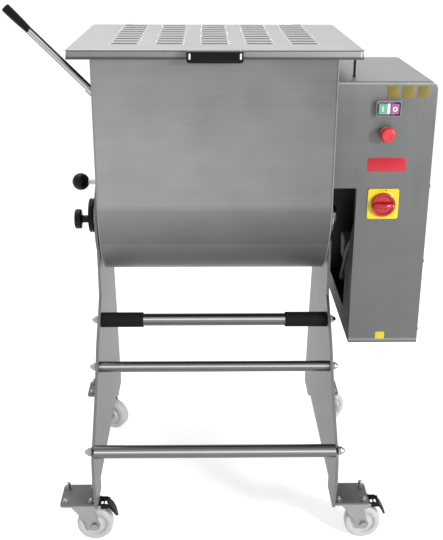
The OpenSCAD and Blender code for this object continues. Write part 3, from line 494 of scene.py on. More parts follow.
def speckled(name, colour_value, metallic, roughness, grit, strength, vary=0.08, **sockets):
    """Surface with an even grit, such as zinc flakes or moulded grain, by its size and its strength.

    Real grit is about 0.1 mm, which is too fine to show, so each finish draws it eight or more times as wide.
    """
    material, tree, surface, place = finish_tree(name, colour_value, metallic, roughness, **sockets)
    patch, depth = 14 * grit, 0.15 * MM
    grains = add(tree, "ShaderNodeTexNoise",
                 {"Vector": place, "Scale": 1 / grit, "Detail": 3, "Roughness": 0.6}).outputs[0]
    wear = add(tree, "ShaderNodeTexNoise", {"Vector": place, "Scale": 1 / patch, "Detail": 2}).outputs[0]
    both = add(tree, "ShaderNodeMath", {0: grains, 1: wear}, operation="MULTIPLY").outputs[0]
    shade = shade_of(tree, colour_value, vary, both)
    skin(tree, surface, shade, wear, (max(0.03, roughness - 0.1), roughness + 0.1), grains, strength, depth)
    return material


def tub_sheet(scene):
    """Satin sheet with lines along the tub, as it is bent round it. Painted shade and reflection by height make it
    bright on its upright front, darker under the bend, where it starts to face the floor, with painted bands
    near the bottom, and painted shade makes it darker towards the drive box.
    """
    (left, _, low), (right, _, _) = corners("tub_trough")
    rim, bend = corners("tub_rim")[0][2], middle("paddle_shaft")[2]
    # painted shade and painted reflection bands by height, and painted shade by width
    heights = [(low, 0.3), (low + 20 * MM, 0.55), (low + 28 * MM, 0.62), (low + 36 * MM, 0.36),
               (low + 52 * MM, 0.48), (low + 90 * MM, 0.6), (low + 100 * MM, 0.66), (low + 108 * MM, 0.55),
               (bend - 60 * MM, 0.58), (bend - 22 * MM, 0.7), (bend - 6 * MM, 0.96), (rim - 190 * MM, 1),
               (rim, 0.84)]
    shade_widths = [(left, 1), (left + 0.45 * (right - left), 0.84), (right, 0.6)]
    return brushed_steel("brushed_tub_sheet", scene.mixer_metals.tub, "yz", scene.mixer_sizes.grain, 0.44,
                         heights=heights, shade_widths=shade_widths)


def end_plate(scene):
    """The end plates stand across the tub, so their brushed lines run upright."""
    return brushed_steel("brushed_end_plate", scene.mixer_metals.end, "y", scene.mixer_sizes.grain)


def lid_sheet(scene):
    """Satin sheet with lines along its width, lighter than the tub's as painted light. Painted shade makes the
    skirt darker than the top, with a painted dark line where it is folded and at its lower edge, and the rim
    under it darker.
    """
    low, top = (corner[2] for corner in corners("lid_panel"))
    # painted shade by height: darker skirt and rim, dark lines at the fold and the lower edge
    heights = [(low - 40 * MM, 0.4), (low + 1.4 * MM, 0.25), (low + 3 * MM, 0.52), (top - 3.4 * MM, 0.6),
               (top - 2.4 * MM, 0.2), (top - 1 * MM, 0.2), (top - 0.5 * MM, 1), (top + 2 * MM, 1)]
    return brushed_steel("brushed_lid_sheet", scene.mixer_metals.lid, "yz", scene.mixer_sizes.grain, 0.5,
                         patch=90 * MM, dull=0.06, heights=heights)


def box_sheet(scene):
    """The drive box's sheet has upright lines on all its sides. Painted shade makes its front far darker than its
    top, with a painted highlight and a dark line at the fold between them and a painted bright band near its
    foot, and painted shade darkens it inside.
    """
    corner_low, corner_high = corners("drive_box")
    low, top, wall = corner_low[2], corner_high[2], 2.5 * MM
    # painted shade and painted highlights by height, and painted shade inside the box
    heights = [(low, 0.08), (low + 3 * MM, 0.1), (low + 4 * MM, 0.42), (low + 9 * MM, 0.42),
               (low + 11 * MM, 0.25), (low + 200 * MM, 0.26), (top - 40 * MM, 0.29), (top - 6 * MM, 0.36),
               (top - 5 * MM, 0.7), (top - 3 * MM, 0.7), (top - 2.4 * MM, 0.06), (top - 0.9 * MM, 0.06),
               (top - 0.5 * MM, 1), (top + 1 * MM, 1)]
    return brushed_steel("brushed_box_sheet", scene.mixer_metals.box, "xy", scene.mixer_sizes.grain,
                         heights=heights, inside=(corner_low + wall, corner_high - wall))


def leg_plate(scene):
    """Hot rolled plate, ground by hand: a little rougher than the sheets, with wider patches."""
    return brushed_steel("ground_leg_plate", scene.mixer_metals.leg, "xy", scene.mixer_sizes.grain, 0.45,
                         patch=45 * MM, dull=0.16)


def base_plate(scene):
    """Ground plate like the legs', but darker as painted reflection: it faces up and mirrors the machine."""
    return brushed_steel("ground_base_plate", scene.mixer_metals.plate, "xy", scene.mixer_sizes.grain, 0.5,
                         patch=30 * MM)


def painted_slot_shade(scene):
    """Dark, dull ring in each slot that paints the shade inside it, with hardly any shine."""
    return speckled("heat_browned_edge", scene.mixer_metals.cut, 0.3, 0.6, 1.4 * MM, 0.1)


def slot_roll(scene):
    """Pressed and polished sheet edge: lighter and smoother than the brushed sheet."""
    return speckled("polished_roll", scene.mixer_metals.roll, 0.4, 0.3, 1.2 * MM, 0.03, 0.03)


def round_bar(scene):
    """Ground and polished stainless bar: dark and light painted reflection bands along it."""
    return polished_bar("polished_round_bar", scene.mixer_metals.bar)


def lever_tube(scene):
    """Polished stainless tube that leans to the left, so its painted reflection bands run aslant."""
    return polished_bar("polished_lever_tube", scene.mixer_metals.bar, 0.24, PAINTED_LEVER_REFLECTIONS, (0.707, 0, 0.707))


def zinc_plating(scene):
    """Bright zinc over pressed steel: a soft grey sparkle."""
    return speckled("zinc_plated_steel", scene.mixer_metals.zinc, 0.9, 0.38, 2.2 * MM, 0.12, 0.16)


def fittings(scene):
    """Turned and cold headed stainless steel: clear highlights on a mid grey."""
    return speckled("stainless_fittings", scene.mixer_metals.fitting, 1.0, 0.26, 1.2 * MM, 0.05)


def bright_stud(scene):
    """Polished stainless ends in a near-white colour that paints the highlight they catch from all sides."""
    return speckled("bright_stud", scene.mixer_metals.stud, 0.3, 0.2, 2 * MM, 0.02, 0.02)


def motor_paint(scene):
    """Enamel sprayed over a casting: slight orange peel, in a colour darkened as painted shade inside the drive
    box.
    """
    return speckled("enamelled_casting", scene.mixer_metals.paint, 0.0, 0.42, 1.6 * MM, 0.25)


def bearing_bronze(scene):
    """Machined bronze: warm, with fine tool marks."""
    return speckled("machined_bronze", scene.mixer_metals.bronze, 1.0, 0.3, 1.0 * MM, 0.05)


def phenolic(scene):
    """Polished phenolic: deep black with clear highlights."""
    return speckled("polished_phenolic", scene.mixer_plastics.black, 0.0, 0.16, 3 * MM, 0.02, 0.2,
                    Specular_IOR_Level=0.18)


def black_plastic(scene):
    """Moulded black plastic with a fine grain: satin, without clear highlights."""
    return speckled("moulded_black_plastic", scene.mixer_plastics.black, 0.0, 0.42, 0.8 * MM, 0.2, 0.2,
                    Specular_IOR_Level=0.15)


def rubber(scene):
    """Vulcanised rubber: matt and a little dusty."""
    return speckled("matt_black_rubber", scene.mixer_plastics.rubber, 0.0, 0.72, 1.1 * MM, 0.3, 0.25,
                    Specular_IOR_Level=0.12)


def nylon(scene):
    """Cast nylon: waxy white with soft highlights."""
    return speckled("cast_white_nylon", scene.mixer_plastics.nylon, 0.0, 0.36, 2.5 * MM, 0.06, 0.03, IOR=1.53)


def grey_plastic(scene):
    """Moulded grey plastic with a fine grain: matt."""
    return speckled("moulded_grey_plastic", scene.mixer_plastics.grey, 0.0, 0.5, 0.9 * MM, 0.2)


def cable_sheath(scene):
    """Soft extruded sheath: smooth and half matt."""
    return speckled("soft_cable_sheath", scene.mixer_plastics.cable, 0.0, 0.5, 1.5 * MM, 0.08)


def silicone(scene):
    """Milky silicone over the buttons: a greyish white with a thin gloss."""
    return speckled("milky_silicone", scene.mixer_plastics.cover, 0.0, 0.3, 2 * MM, 0.04, 0.04,
                    Coat_Weight=0.3)


def green_cap(scene):
    """Glossy green polycarbonate, paled by the silicone over it."""
    return speckled("green_polycarbonate", scene.mixer_plastics.green, 0.0, 0.25, 2 * MM, 0.03, 0.1)


def red_cap(scene):
    """Glossy red polycarbonate, paled to a pink by the silicone over it."""
    return speckled("red_polycarbonate", scene.mixer_plastics.pink, 0.0, 0.25, 2 * MM, 0.03, 0.1)


def white_print(scene):
    """White print and the clear lamp between the caps: even and half matt."""
    return speckled("white_print", scene.mixer_plastics.white, 0.0, 0.35, 2 * MM, 0.03, 0.02)


def mushroom_plastic(scene):
    """Moulded red plastic: satin, with a soft highlight on its face."""
    return speckled("moulded_red_plastic", scene.mixer_plastics.red, 0.0, 0.33, 1.4 * MM, 0.08, 0.08)


def dial_plastic(scene):
    """Glossy deep red plastic with clear highlights along the grip."""
    return speckled("glossy_red_plastic", scene.mixer_plastics.dial, 0.0, 0.2, 2 * MM, 0.03, 0.12,
                    Coat_Weight=0.3)


def yellow_plastic(scene):
    """Moulded yellow plastic: smooth and bright."""
    return speckled("moulded_yellow_plastic", scene.mixer_plastics.yellow, 0.0, 0.32, 1.6 * MM, 0.05, 0.03)


def label_film(scene):
    """Ochre vinyl film: half matt and even."""
    return speckled("ochre_label_film", scene.mixer_plastics.label, 0.0, 0.45, 1.2 * MM, 0.04, 0.12)


def notice_film(scene):
    """Yellow vinyl film: half matt and even."""
    return speckled("yellow_label_film", scene.mixer_plastics.notice, 0.0, 0.4, 1.2 * MM, 0.04, 0.06)


def badge_film(scene):
    """Red vinyl film: a little glossier than the labels."""
    return speckled("red_badge_film", scene.mixer_plastics.badge, 0.0, 0.3, 1.2 * MM, 0.03, 0.06)


MAKERS = {"tub": tub_sheet, "end": end_plate, "lid": lid_sheet, "box": box_sheet, "leg": leg_plate,
          "plate": base_plate, "cut": painted_slot_shade, "roll": slot_roll, "bar": round_bar, "lever": lever_tube,
          "zinc": zinc_plating, "fitting": fittings, "stud": bright_stud, "paint": motor_paint,
          "bronze": bearing_bronze, "black": phenolic, "moulded": black_plastic, "rubber": rubber,
          "nylon": nylon, "grey": grey_plastic, "cable": cable_sheath, "cover": silicone,
          "green": green_cap, "pink": red_cap, "white": white_print, "red": mushroom_plastic,
          "dial": dial_plastic, "yellow": yellow_plastic, "label": label_film, "notice": notice_film,
          "badge": badge_film}
WHEELS, FORKS = (tuple(kind + word for word in CORNER_WORDS.values()) for kind in ("wheel_", "fork_"))
WORN_BY = {
    "tub": ("tub_trough",), "end": ("tub_ends",), "lid": ("tub_rim", "lid_panel"),
    "box": ("drive_box", "box_cover"), "leg": ("left_leg", "right_leg"), "plate": ("base_plates",),
    "bar": ("rest_bar", "middle_bar", "foot_bar", "pivot_stubs", "lock_housing", "lock_bushes",
            "paddle_shaft", "paddle_blades"),
    "lever": ("lever_tube", "lever_socket"),
    "fitting": ("bar_nuts", "castor_bolts", "lid_hinges", "tub_hinges"),
    # the pivot bushes and the lock pin wear the painted highlight of the studs
    "stud": ("pivot_bushes", "lock_pin"), "zinc": ("castor_tops", "gear_bracket") + FORKS,
    "bronze": ("shaft_bearings",), "paint": ("gearbox", "motor"),
    "grey": ("terminal_box", "switch_blocks"), "rubber": ("bar_sleeves",), "nylon": WHEELS,
    "moulded": ("lid_tongue", "lid_switch", "cable_gland", "cover_screws", "pedal_left", "pedal_right"),
    "black": ("lid_handle", "lock_ball", "clamp_wheel", "clamp_grip", "lever_grip"),
    "cable": ("motor_cable",), "cover": ("button_block",), "green": ("start_button",),
    "pink": ("stop_button",), "red": ("estop_head",), "yellow": ("estop_collar", "switch_plate"),
    "dial": ("switch_dial",),
}
FINISHES = {}


class OBJECT_OT_mixer_finishes(bpy.types.Operator):
    """Make every finish of the mixer and give it to the construction pieces that wear it"""
    bl_idname = "object.mixer_finishes"
    bl_label = "Finishes"
    bl_options = {"REGISTER", "UNDO"}

    def execute(self, context):
        for key, maker in MAKERS.items():
            FINISHES[key] = maker(context.scene)
        for key, nodes in WORN_BY.items():
            for node in nodes:
                mesh = frame["nodes"][node].data
                mesh.materials.clear()
                mesh.materials.append(FINISHES[key])
        return {"FINISHED"}


class OBJECT_OT_mixer_sheets(bpy.types.Operator):
    """Round the edges of the sheets, plates and brackets"""
    bl_idname = "object.mixer_sheets"
    bl_label = "Sheets and plates"
    bl_options = {"REGISTER", "UNDO"}

    def execute(self, context):
        size = context.scene.mixer_sizes
        self.soften("box", ("drive_box", "box_cover"), size.sheet_edge)
        self.soften("lid", ("tub_rim",), size.sheet_edge)
        self.soften("end", ("tub_ends",), size.plate_edge)
        self.soften("leg", ("left_leg", "right_leg"), size.plate_edge)
        self.base_plates()
        self.soften("zinc", ("castor_tops",) + FORKS + ("gear_bracket",), size.plate_edge)
        self.soften("bar", ("paddle_blades",), size.plate_edge)
        self.soften("fitting", ("tub_hinges", "lid_hinges"), size.plate_edge)
        return {"FINISHED"}

    def soften(self, key, nodes, width):
        """The construction's own sheets and plates, with their edges rounded."""
        for node in nodes:
            softened(node, FINISHES[key], width)

    def base_plates(self):
        """The four plates over the castors: rounded squares with a small round edge, closed in the middle."""
        low, high = corners("base_plates")
        wide, corner_r, edge_r = 78 * MM, 8 * MM, 0.6 * MM
        plate = stack(round_rectangle(wide, wide, corner_r, 8), rounded(low[2], high[2], edge_r, 3))
        pins = [JOINTS["swivel_" + corner]["pos_m"] for corner in CORNERS]
        shells = [seated(plate, (pin[0], pin[1], 0)) for pin in pins]
        piece("base_plate_set", shells, FINISHES["plate"], "frame", ["base_plates"])


class OBJECT_OT_mixer_lid(bpy.types.Operator):
    """Fold the lid's sheet, cut its slots and roll a rim round each of them"""
    bl_idname = "object.mixer_lid"
    bl_label = "Lid"
    bl_options = {"REGISTER", "UNDO"}

    def execute(self, context):
        size = context.scene.mixer_sizes
        low, high = corners("lid_panel")
        middle_x, middle_y = (low[0] + high[0]) / 2, (low[1] + high[1]) / 2
        wide, deep, top = high[0] - low[0], high[1] - low[1], high[2]
        sheet, corner_r, bevel, fold = 2 * MM, 7 * MM, 0.3 * MM, size.lid_fold
        slot = round_rectangle(size.slot_length, size.slot_width, size.slot_width / 2, 10)
        columns, rows = size.slot_columns, size.slot_rows
        spots = [(middle_x + (i - (columns - 1) / 2) * size.slot_pitch_x,
                  low[1] + size.slot_first + j * size.slot_pitch_y)
                 for i in range(columns) for j in range(rows)]
        outer = round_rectangle(wide, deep, corner_r, 10)
        # the skirt's section: a quarter circle fold with the sheet's wall behind it
        t = np.linspace(0, np.pi / 2, 5)
        over = np.column_stack([fold * (1 - np.sin(t)), top - fold * (1 - np.cos(t))])
        skirt = np.concatenate([[[bevel, low[2]], [0, low[2] + bevel]], over,
                                [[fold, top - sheet], [sheet, top - sheet], [sheet, low[2]]]])
        folded = loop_shell(stack(outer, skirt) + np.array([middle_x, middle_y, 0]))
        edges = [outer(fold) + [middle_x, middle_y]] + [slot(0) + spot for spot in spots]
        panel = self.pierced(edges, top - sheet, top)
        piece("lid_sheet", [folded, panel], FINISHES["lid"], "lid", ["lid_panel"])
        self.rims(slot, spots, top)
        self.rim_ends(size.slot_length, spots, top)
        return {"FINISHED"}

    def pierced(self, edges, low, high):
        """Flat plate between an outer edge and the edges of its holes, as a filled curve of its thickness."""
        curve = bpy.data.curves.new("pierced", "CURVE")
        curve.dimensions = "2D"
        curve.fill_mode = "BOTH"
        curve.extrude = (high - low) / 2
        for edge in edges:
            spline = curve.splines.new("POLY")
            spline.points.add(len(edge) - 1)
            flat = np.column_stack([edge, np.zeros(len(edge)), np.ones(len(edge))])
            spline.points.foreach_set("co", flat.ravel())
            spline.use_cyclic_u = True
        item = bpy.data.objects.new("pierced", curve)
        mesh = bpy.data.meshes.new_from_object(item)
        points = np.empty(3 * len(mesh.vertices))
        mesh.vertices.foreach_get("co", points)
        faces = [tuple(face.vertices) for face in mesh.polygons]
        bpy.data.objects.remove(item)
        bpy.data.curves.remove(curve)
        bpy.data.meshes.remove(mesh)
        return points.reshape(-1, 3) + [0, 0, (low + high) / 2], faces

    def rims(self, slot, spots, top):
        """A raised half round roll along each slot's edge, and inside it a dark ring of the cut that paints the
        shade in the slot.
        """
        out, rise, sunk = 1.2 * MM, 0.6 * MM, 0.1 * MM
        inner, depth = 0.9 * MM, 3.4 * MM
        t = np.linspace(0, np.pi, 7)
        roll = np.column_stack([-out / 2 * (1 + np.cos(t)), top - sunk + rise * np.sin(t)])
        # the cut's dark ring reaches below the sheet and paints the shade inside the slot
        cut = np.array([[-sunk, top + 0.2 * MM], [inner, top + 0.1 * MM], [inner, top - depth],
                        [-sunk, top - depth]])
        for name, levels, key in (("lid_slot_rolls", roll, "roll"), ("lid_slot_cuts", cut, "cut")):
            ring = stack(slot, levels)
            shells = [loop_shell(ring + np.array([x, y, 0])) for x, y in spots]
            piece(name, shells, FINISHES[key], "lid", slot="brushed_stainless_sheet")

    def rim_ends(self, slot_length, spots, top):
        """A small rounded block at each end of a slot, where the rim is pressed up, in a near-white finish that
        paints its highlight.
        """
        wide, tall, rise, sunk = 2.4 * MM, 10 * MM, 1.3 * MM, 0.5 * MM
        outline = round_rectangle(wide, tall, 1.1 * MM, 5)
        bump = stack(outline, rounded(top - sunk, top + rise, 0.8 * MM, 4, bottom=False))
        off = slot_length / 2 + 1.6 * MM
        shells = [seated(bump, (x + side * off, y, 0)) for x, y in spots for side in (-1, 1)]
        piece("lid_slot_ends", shells, FINISHES["stud"], "lid", slot="brushed_stainless_sheet")


class OBJECT_OT_mixer_lid_handle(bpy.types.Operator):
    """Mould the black handle of the lid as a bar with round corners and two screws"""
    bl_idname = "object.mixer_lid_handle"
    bl_label = "Lid handle"
    bl_options = {"REGISTER", "UNDO"}

    def execute(self, context):
        low, high = corners("lid_handle")
        thick, bend = 9 * MM, 5 * MM
        reach, front, back = (high[0] - low[0]) / 2 - thick / 2, low[1] + thick / 2, high[1]
        centre, level = (low[0] + high[0]) / 2, (low[2] + high[2]) / 2
        # half of the path, with a quarter circle at its corner, and then the same half mirrored
        t = np.linspace(0, np.pi / 2, 9)
        corner = np.column_stack([-np.cos(t), -np.sin(t)]) * bend + [bend - reach, front + bend]
        arm = np.array([[-reach, back + 0.5 * MM], [-reach, front + bend + 2 * MM]])
        half = np.concatenate([arm, corner, [[-reach / 2, front]]])
        flat = np.concatenate([half, half[::-1] * [-1, 1]]) + [centre, 0]
        path = np.column_stack([flat, np.full(len(flat), level)])
        outline = round_rectangle(thick, high[2] - low[2], 3 * MM, 6)(0)
        piece("lid_handle_bar", [shell(carried(outline, path))], FINISHES["black"], "lid", ["lid_handle"])
        self.screws(centre, reach, back - 5 * MM, high[2] - 0.4 * MM)
        self.studs(centre, reach - 1.4 * MM, low[1], level + 2 * MM)
        return {"FINISHED"}

    def screws(self, centre, reach, y, top):
        """A low round head turned about Z, on each arm of the handle."""
        head_r, dome, sunk = 3.8 * MM, 1.6 * MM, 1 * MM
        profile = [[0, dome]] + arc(head_r - dome, 0, dome, 90, 0, 5) + [[head_r, -sunk], [0, -sunk]]
        shells = [seated(lathe(profile, 32), (centre + side * reach, y, top)) for side in (-1, 1)]
        piece("lid_handle_screws", shells, FINISHES["fitting"], "lid", slot="stainless_fittings")

    def studs(self, centre, reach, front, level):
        """A near-white rounded block in the handle's face at each of its ends, which paints the highlight on its
        bends.
        """
        stud = stack(round_rectangle(3.8 * MM, 11 * MM, 1.4 * MM, 5), rounded(-3 * MM, 0.6 * MM, 0.5 * MM, 4))
        shells = [seated(stud, (centre + side * reach, front, level), TO_FRONT) for side in (-1, 1)]
        piece("lid_handle_studs", shells, FINISHES["stud"], "lid", slot="stainless_fittings")


class OBJECT_OT_mixer_knobs(bpy.types.Operator):
    """Turn the ball knob, the clamp wheel with its knob and the lever's grip"""
    bl_idname = "object.mixer_knobs"
    bl_label = "Knobs and grips"
    bl_options = {"REGISTER", "UNDO"}

    def execute(self, context):
        self.lock_ball()
        self.clamp_wheel()
        self.clamp_grip()
        self.lever_grip()
        return {"FINISHED"}

    def lock_ball(self):
        """A sphere turned about X, cut flat where it meets its pin."""
        low, high = corners("lock_ball")
        r = (high[2] - low[2]) / 2
        seat_angle, seat_r, seat_z = -67.2, 0.3 * r, -0.93 * r
        profile = [[0, r]] + arc(0, 0, r, 86, seat_angle, 34) + [[seat_r, seat_z], [0, seat_z]]
        piece("lock_ball_knob", [seated(lathe(profile), middle("lock_ball"), TO_LEFT)], FINISHES["black"],
              "lock", ["lock_ball"])

    def clamp_wheel(self):
        """A disc with round edges, a groove round its rim, a dished face and a hub, turned about X, and a low
        boss under its knob.
        """
        low, high = corners("clamp_wheel")
        _, hub_y, hub_z = middle("clamp_wheel")
        _, knob_y, knob_z = middle("clamp_grip")
        r, thick, edge, groove = (high[2] - low[2]) / 2, 13 * MM, 3.5 * MM, 1.4 * MM
        dish, boss_r, boss_rise = 1.6 * MM, 6 * MM, 0.6 * MM
        profile = ([[0, 0], [r - edge, 0]] + arc(r - edge, edge, edge, -90, 0, 6)
                   + [[r, 4.6 * MM], [r - groove, 5.4 * MM], [r - groove, 7.2 * MM], [r, 8 * MM]]
                   + arc(r - edge, thick - edge, edge, 0, 90, 6)
                   + [[r - 9 * MM, thick - 0.2 * MM], [r - 11 * MM, thick - dish],
                      [16 * MM, thick - dish], [14 * MM, thick], [0, thick]])
        boss = [[0, thick - 1 * MM], [boss_r, thick - 1 * MM], [boss_r, thick + boss_rise],
                [0, thick + boss_rise]]
        shells = [seated(lathe(profile, 96), (high[0], hub_y, hub_z), TO_LEFT),
                  seated(lathe(boss, 40), (high[0], knob_y, knob_z), TO_LEFT)]
        piece("clamp_wheel_rim", shells, FINISHES["black"], "clamp", ["clamp_wheel"])

    def clamp_grip(self):
        """A stem that widens in a hollow curve into a round knob, turned about X."""
        low, high = corners("clamp_grip")
        _, y, z = middle("clamp_grip")
        r, reach = (high[2] - low[2]) / 2, high[0] - low[0]
        stem_r, foot_r, hollow, edge = 8.4 * MM, 9 * MM, 3 * MM, 4 * MM
        neck = reach - 15.5 * MM
        profile = ([[0, 0], [foot_r, 0], [stem_r, 2 * MM], [stem_r, neck - hollow]]
                   + arc(stem_r + hollow, neck - hollow, hollow, 180, 90, 5)
                   + arc(r - edge, neck + edge, edge, -90, 0, 6)
                   + arc(r - edge, reach - edge, edge, 0, 90, 6)
                   + [[6 * MM, reach - 0.4 * MM], [0, reach - 0.5 * MM]])
        piece("clamp_knob_grip", [seated(lathe(profile), (high[0], y, z), TO_LEFT)], FINISHES["black"],
              "clamp_knob", ["clamp_grip"])

    def lever_grip(self):
        """The grip swells from the tube to a flat end with a round edge, turned about the lever's own line,
        which leans to the left at 45 degrees. The radius follows 1 - (1 - t) to the power 2.2.
        """
        low, high = corners("lever_grip")
        lean = math.radians(45)
        run = np.array([-math.cos(lean), 0, math.sin(lean)])
        top_r, low_r, long, end_r, past = 10 * MM, 7.4 * MM, 72 * MM, 3.2 * MM, 1 * MM
        # the construction's grip ends in a half ball of this radius, whose centre lies on the lever's line
        ball_r = 10.5 * MM
        centre = np.array([low[0] + ball_r, (low[1] + high[1]) / 2, high[2] - ball_r])
        start = centre - run * (long - ball_r + past)
        t = np.linspace(0, 1, 12)
        swell = low_r + (top_r - low_r) * (1 - (1 - t) ** 2.2)
        side = np.column_stack([swell, 1 * MM + t * (long - 4.5 * MM)]).tolist()
        end = arc(top_r - end_r, long - end_r, end_r, 8, 90, 8) + [[0, long]]
        rings = lathe([[0, 0], [low_r - 0.6 * MM, 0]] + side + end)
        piece("lever_grip_cone", [seated(rings, start, axes(run, (0, 1, 0)))], FINISHES["black"], "tub",
              ["lever_grip"])


class OBJECT_OT_mixer_sleeves(bpy.types.Operator):
    """Draw the rubber sleeves of the rest bar with soft ends and faint ribs"""
    bl_idname = "object.mixer_sleeves"
    bl_label = "Rubber sleeves"
    bl_options = {"REGISTER", "UNDO"}

    def execute(self, context):
        low, high = corners("bar_sleeves")
        _, y, z = middle("bar_sleeves")
        inner, outer, soft, long = 14.1 * MM, (high[2] - low[2]) / 2, 1.3 * MM, 94.5 * MM
        rib, pitch = 0.25 * MM, 3.2 * MM
        # the sleeve is turned about X: its radius falls by a cosine of the length from rib to rib
        along = np.linspace(soft, long - soft, 60)
        ribbed = outer - rib * (0.5 + 0.5 * np.cos(2 * np.pi * along / pitch))
        first = arc(outer - soft, soft, soft, -90, -10, 5)
        last = arc(outer - soft, long - soft, soft, 10, 90, 5)
        profile = [[inner, 0]] + first + np.column_stack([ribbed, along]).tolist() + last + [[inner, long]]
        shells = []
        for side, start in ((-1, low[0]), (1, high[0])):
            rings = placed(lathe(profile, 56), (start, y, z), axes((-side, 0, 0), (0, 1, 0)))
            shells.append(loop_shell(rings))
        piece("rest_bar_sleeves", shells, FINISHES["rubber"], "frame", ["bar_sleeves"])
        return {"FINISHED"}


class OBJECT_OT_mixer_wheels(bpy.types.Operator):
    """Turn the four nylon wheels and seat a bearing on each face"""
    bl_idname = "object.mixer_wheels"
    bl_label = "Castor wheels"
    bl_options = {"REGISTER", "UNDO"}

    def execute(self, context):
        half, bore = 15 * MM, 6.2 * MM
        wheel = lathe(self.wheel_profile(40 * MM, half, 13 * MM, bore), 96)
        ring, lip, rise = 9 * MM, 8.6 * MM, 0.4 * MM
        bearing = lathe([[bore, -half - rise], [lip, -half - rise], [ring, -half], [ring, half],
                         [lip, half + rise], [bore, half + rise]], 48)
        for corner in CORNERS:
            joint, word, body = JOINTS["roll_" + corner], CORNER_WORDS[corner], "wheel_" + corner
            turn = axes(joint["axis"], (0, 0, 1))
            piece("wheel_tyre_" + word, [loop_shell(placed(wheel, joint["pos_m"], turn))],
                  FINISHES["nylon"], body, ["wheel_" + word])
            piece("wheel_bearing_" + word, [loop_shell(placed(bearing, joint["pos_m"], turn))],
                  FINISHES["fitting"], body, slot="stainless_fittings")
        return {"FINISHED"}

    def wheel_profile(self, r, half, hub, bore):
        """Half of the wheel's section, then the same half mirrored: a tread that falls with the square of its
        width, a round shoulder, a rim, a dish down to the web and the hub.
        """
        web, shoulder, drop, inset = 9 * MM, 5.5 * MM, 0.35 * MM, 2 * MM
        flat = half - inset - shoulder
        z = np.linspace(0, flat, 5)[:-1]
        crown = np.column_stack([r - drop * (z / flat) ** 2, z])
        tread = np.minimum(arc(r - shoulder, flat, shoulder, 0, 90, 9), [r - drop, np.inf])
        dish = (arc(r - 11 * MM, half - 4 * MM, 2 * MM, 90, 180, 5)
                + arc(r - 17 * MM, web + 2.5 * MM, 2.5 * MM, 0, -90, 5)
                + arc(hub + 3 * MM, web + 3 * MM, 3 * MM, -90, -180, 5)
                + arc(hub - 1.2 * MM, half - 1.2 * MM, 1.2 * MM, 0, 90, 4))
        side = np.concatenate([crown, tread, [[r - 9 * MM, half - inset]], dish, [[bore, half]]])
        return np.concatenate([side[:0:-1] * [1, -1], side])


def hex_head(across, high, dome=0.0):
    """Hexagon whose corners are cut by a cone at top and bottom: at each level the radius is the lesser of
    the hexagon's and a circle's. Where a dome is asked for, a quarter ellipse closes the top.
    """
    t, flat = hexagon(across)
    wide, inner = flat.max(), across / 2
    cone, tip, face = 0.56 * (wide - inner), 0.01 * inner, 0.97 * inner
    levels = [(tip, 0), (face, 0), (wide, cone), (wide, high - cone), (face, high)]
    if dome:
        foot = 0.84 * inner
        levels += [(foot * math.cos(a), high + dome * math.sin(a)) for a in np.linspace(0, np.pi / 2, 9)]
    else:
        levels += [(0.9 * inner, high), (tip, high)]
    return np.array([np.column_stack([np.minimum(flat, r) * np.cos(t), np.minimum(flat, r) * np.sin(t),
                                      np.full(len(t), z)]) for r, z in levels])


def disc(radius, low, high, edge):
    """Round washer or stud with a small rounded edge."""
    return stack(circle(radius), rounded(low, high, edge, 4))


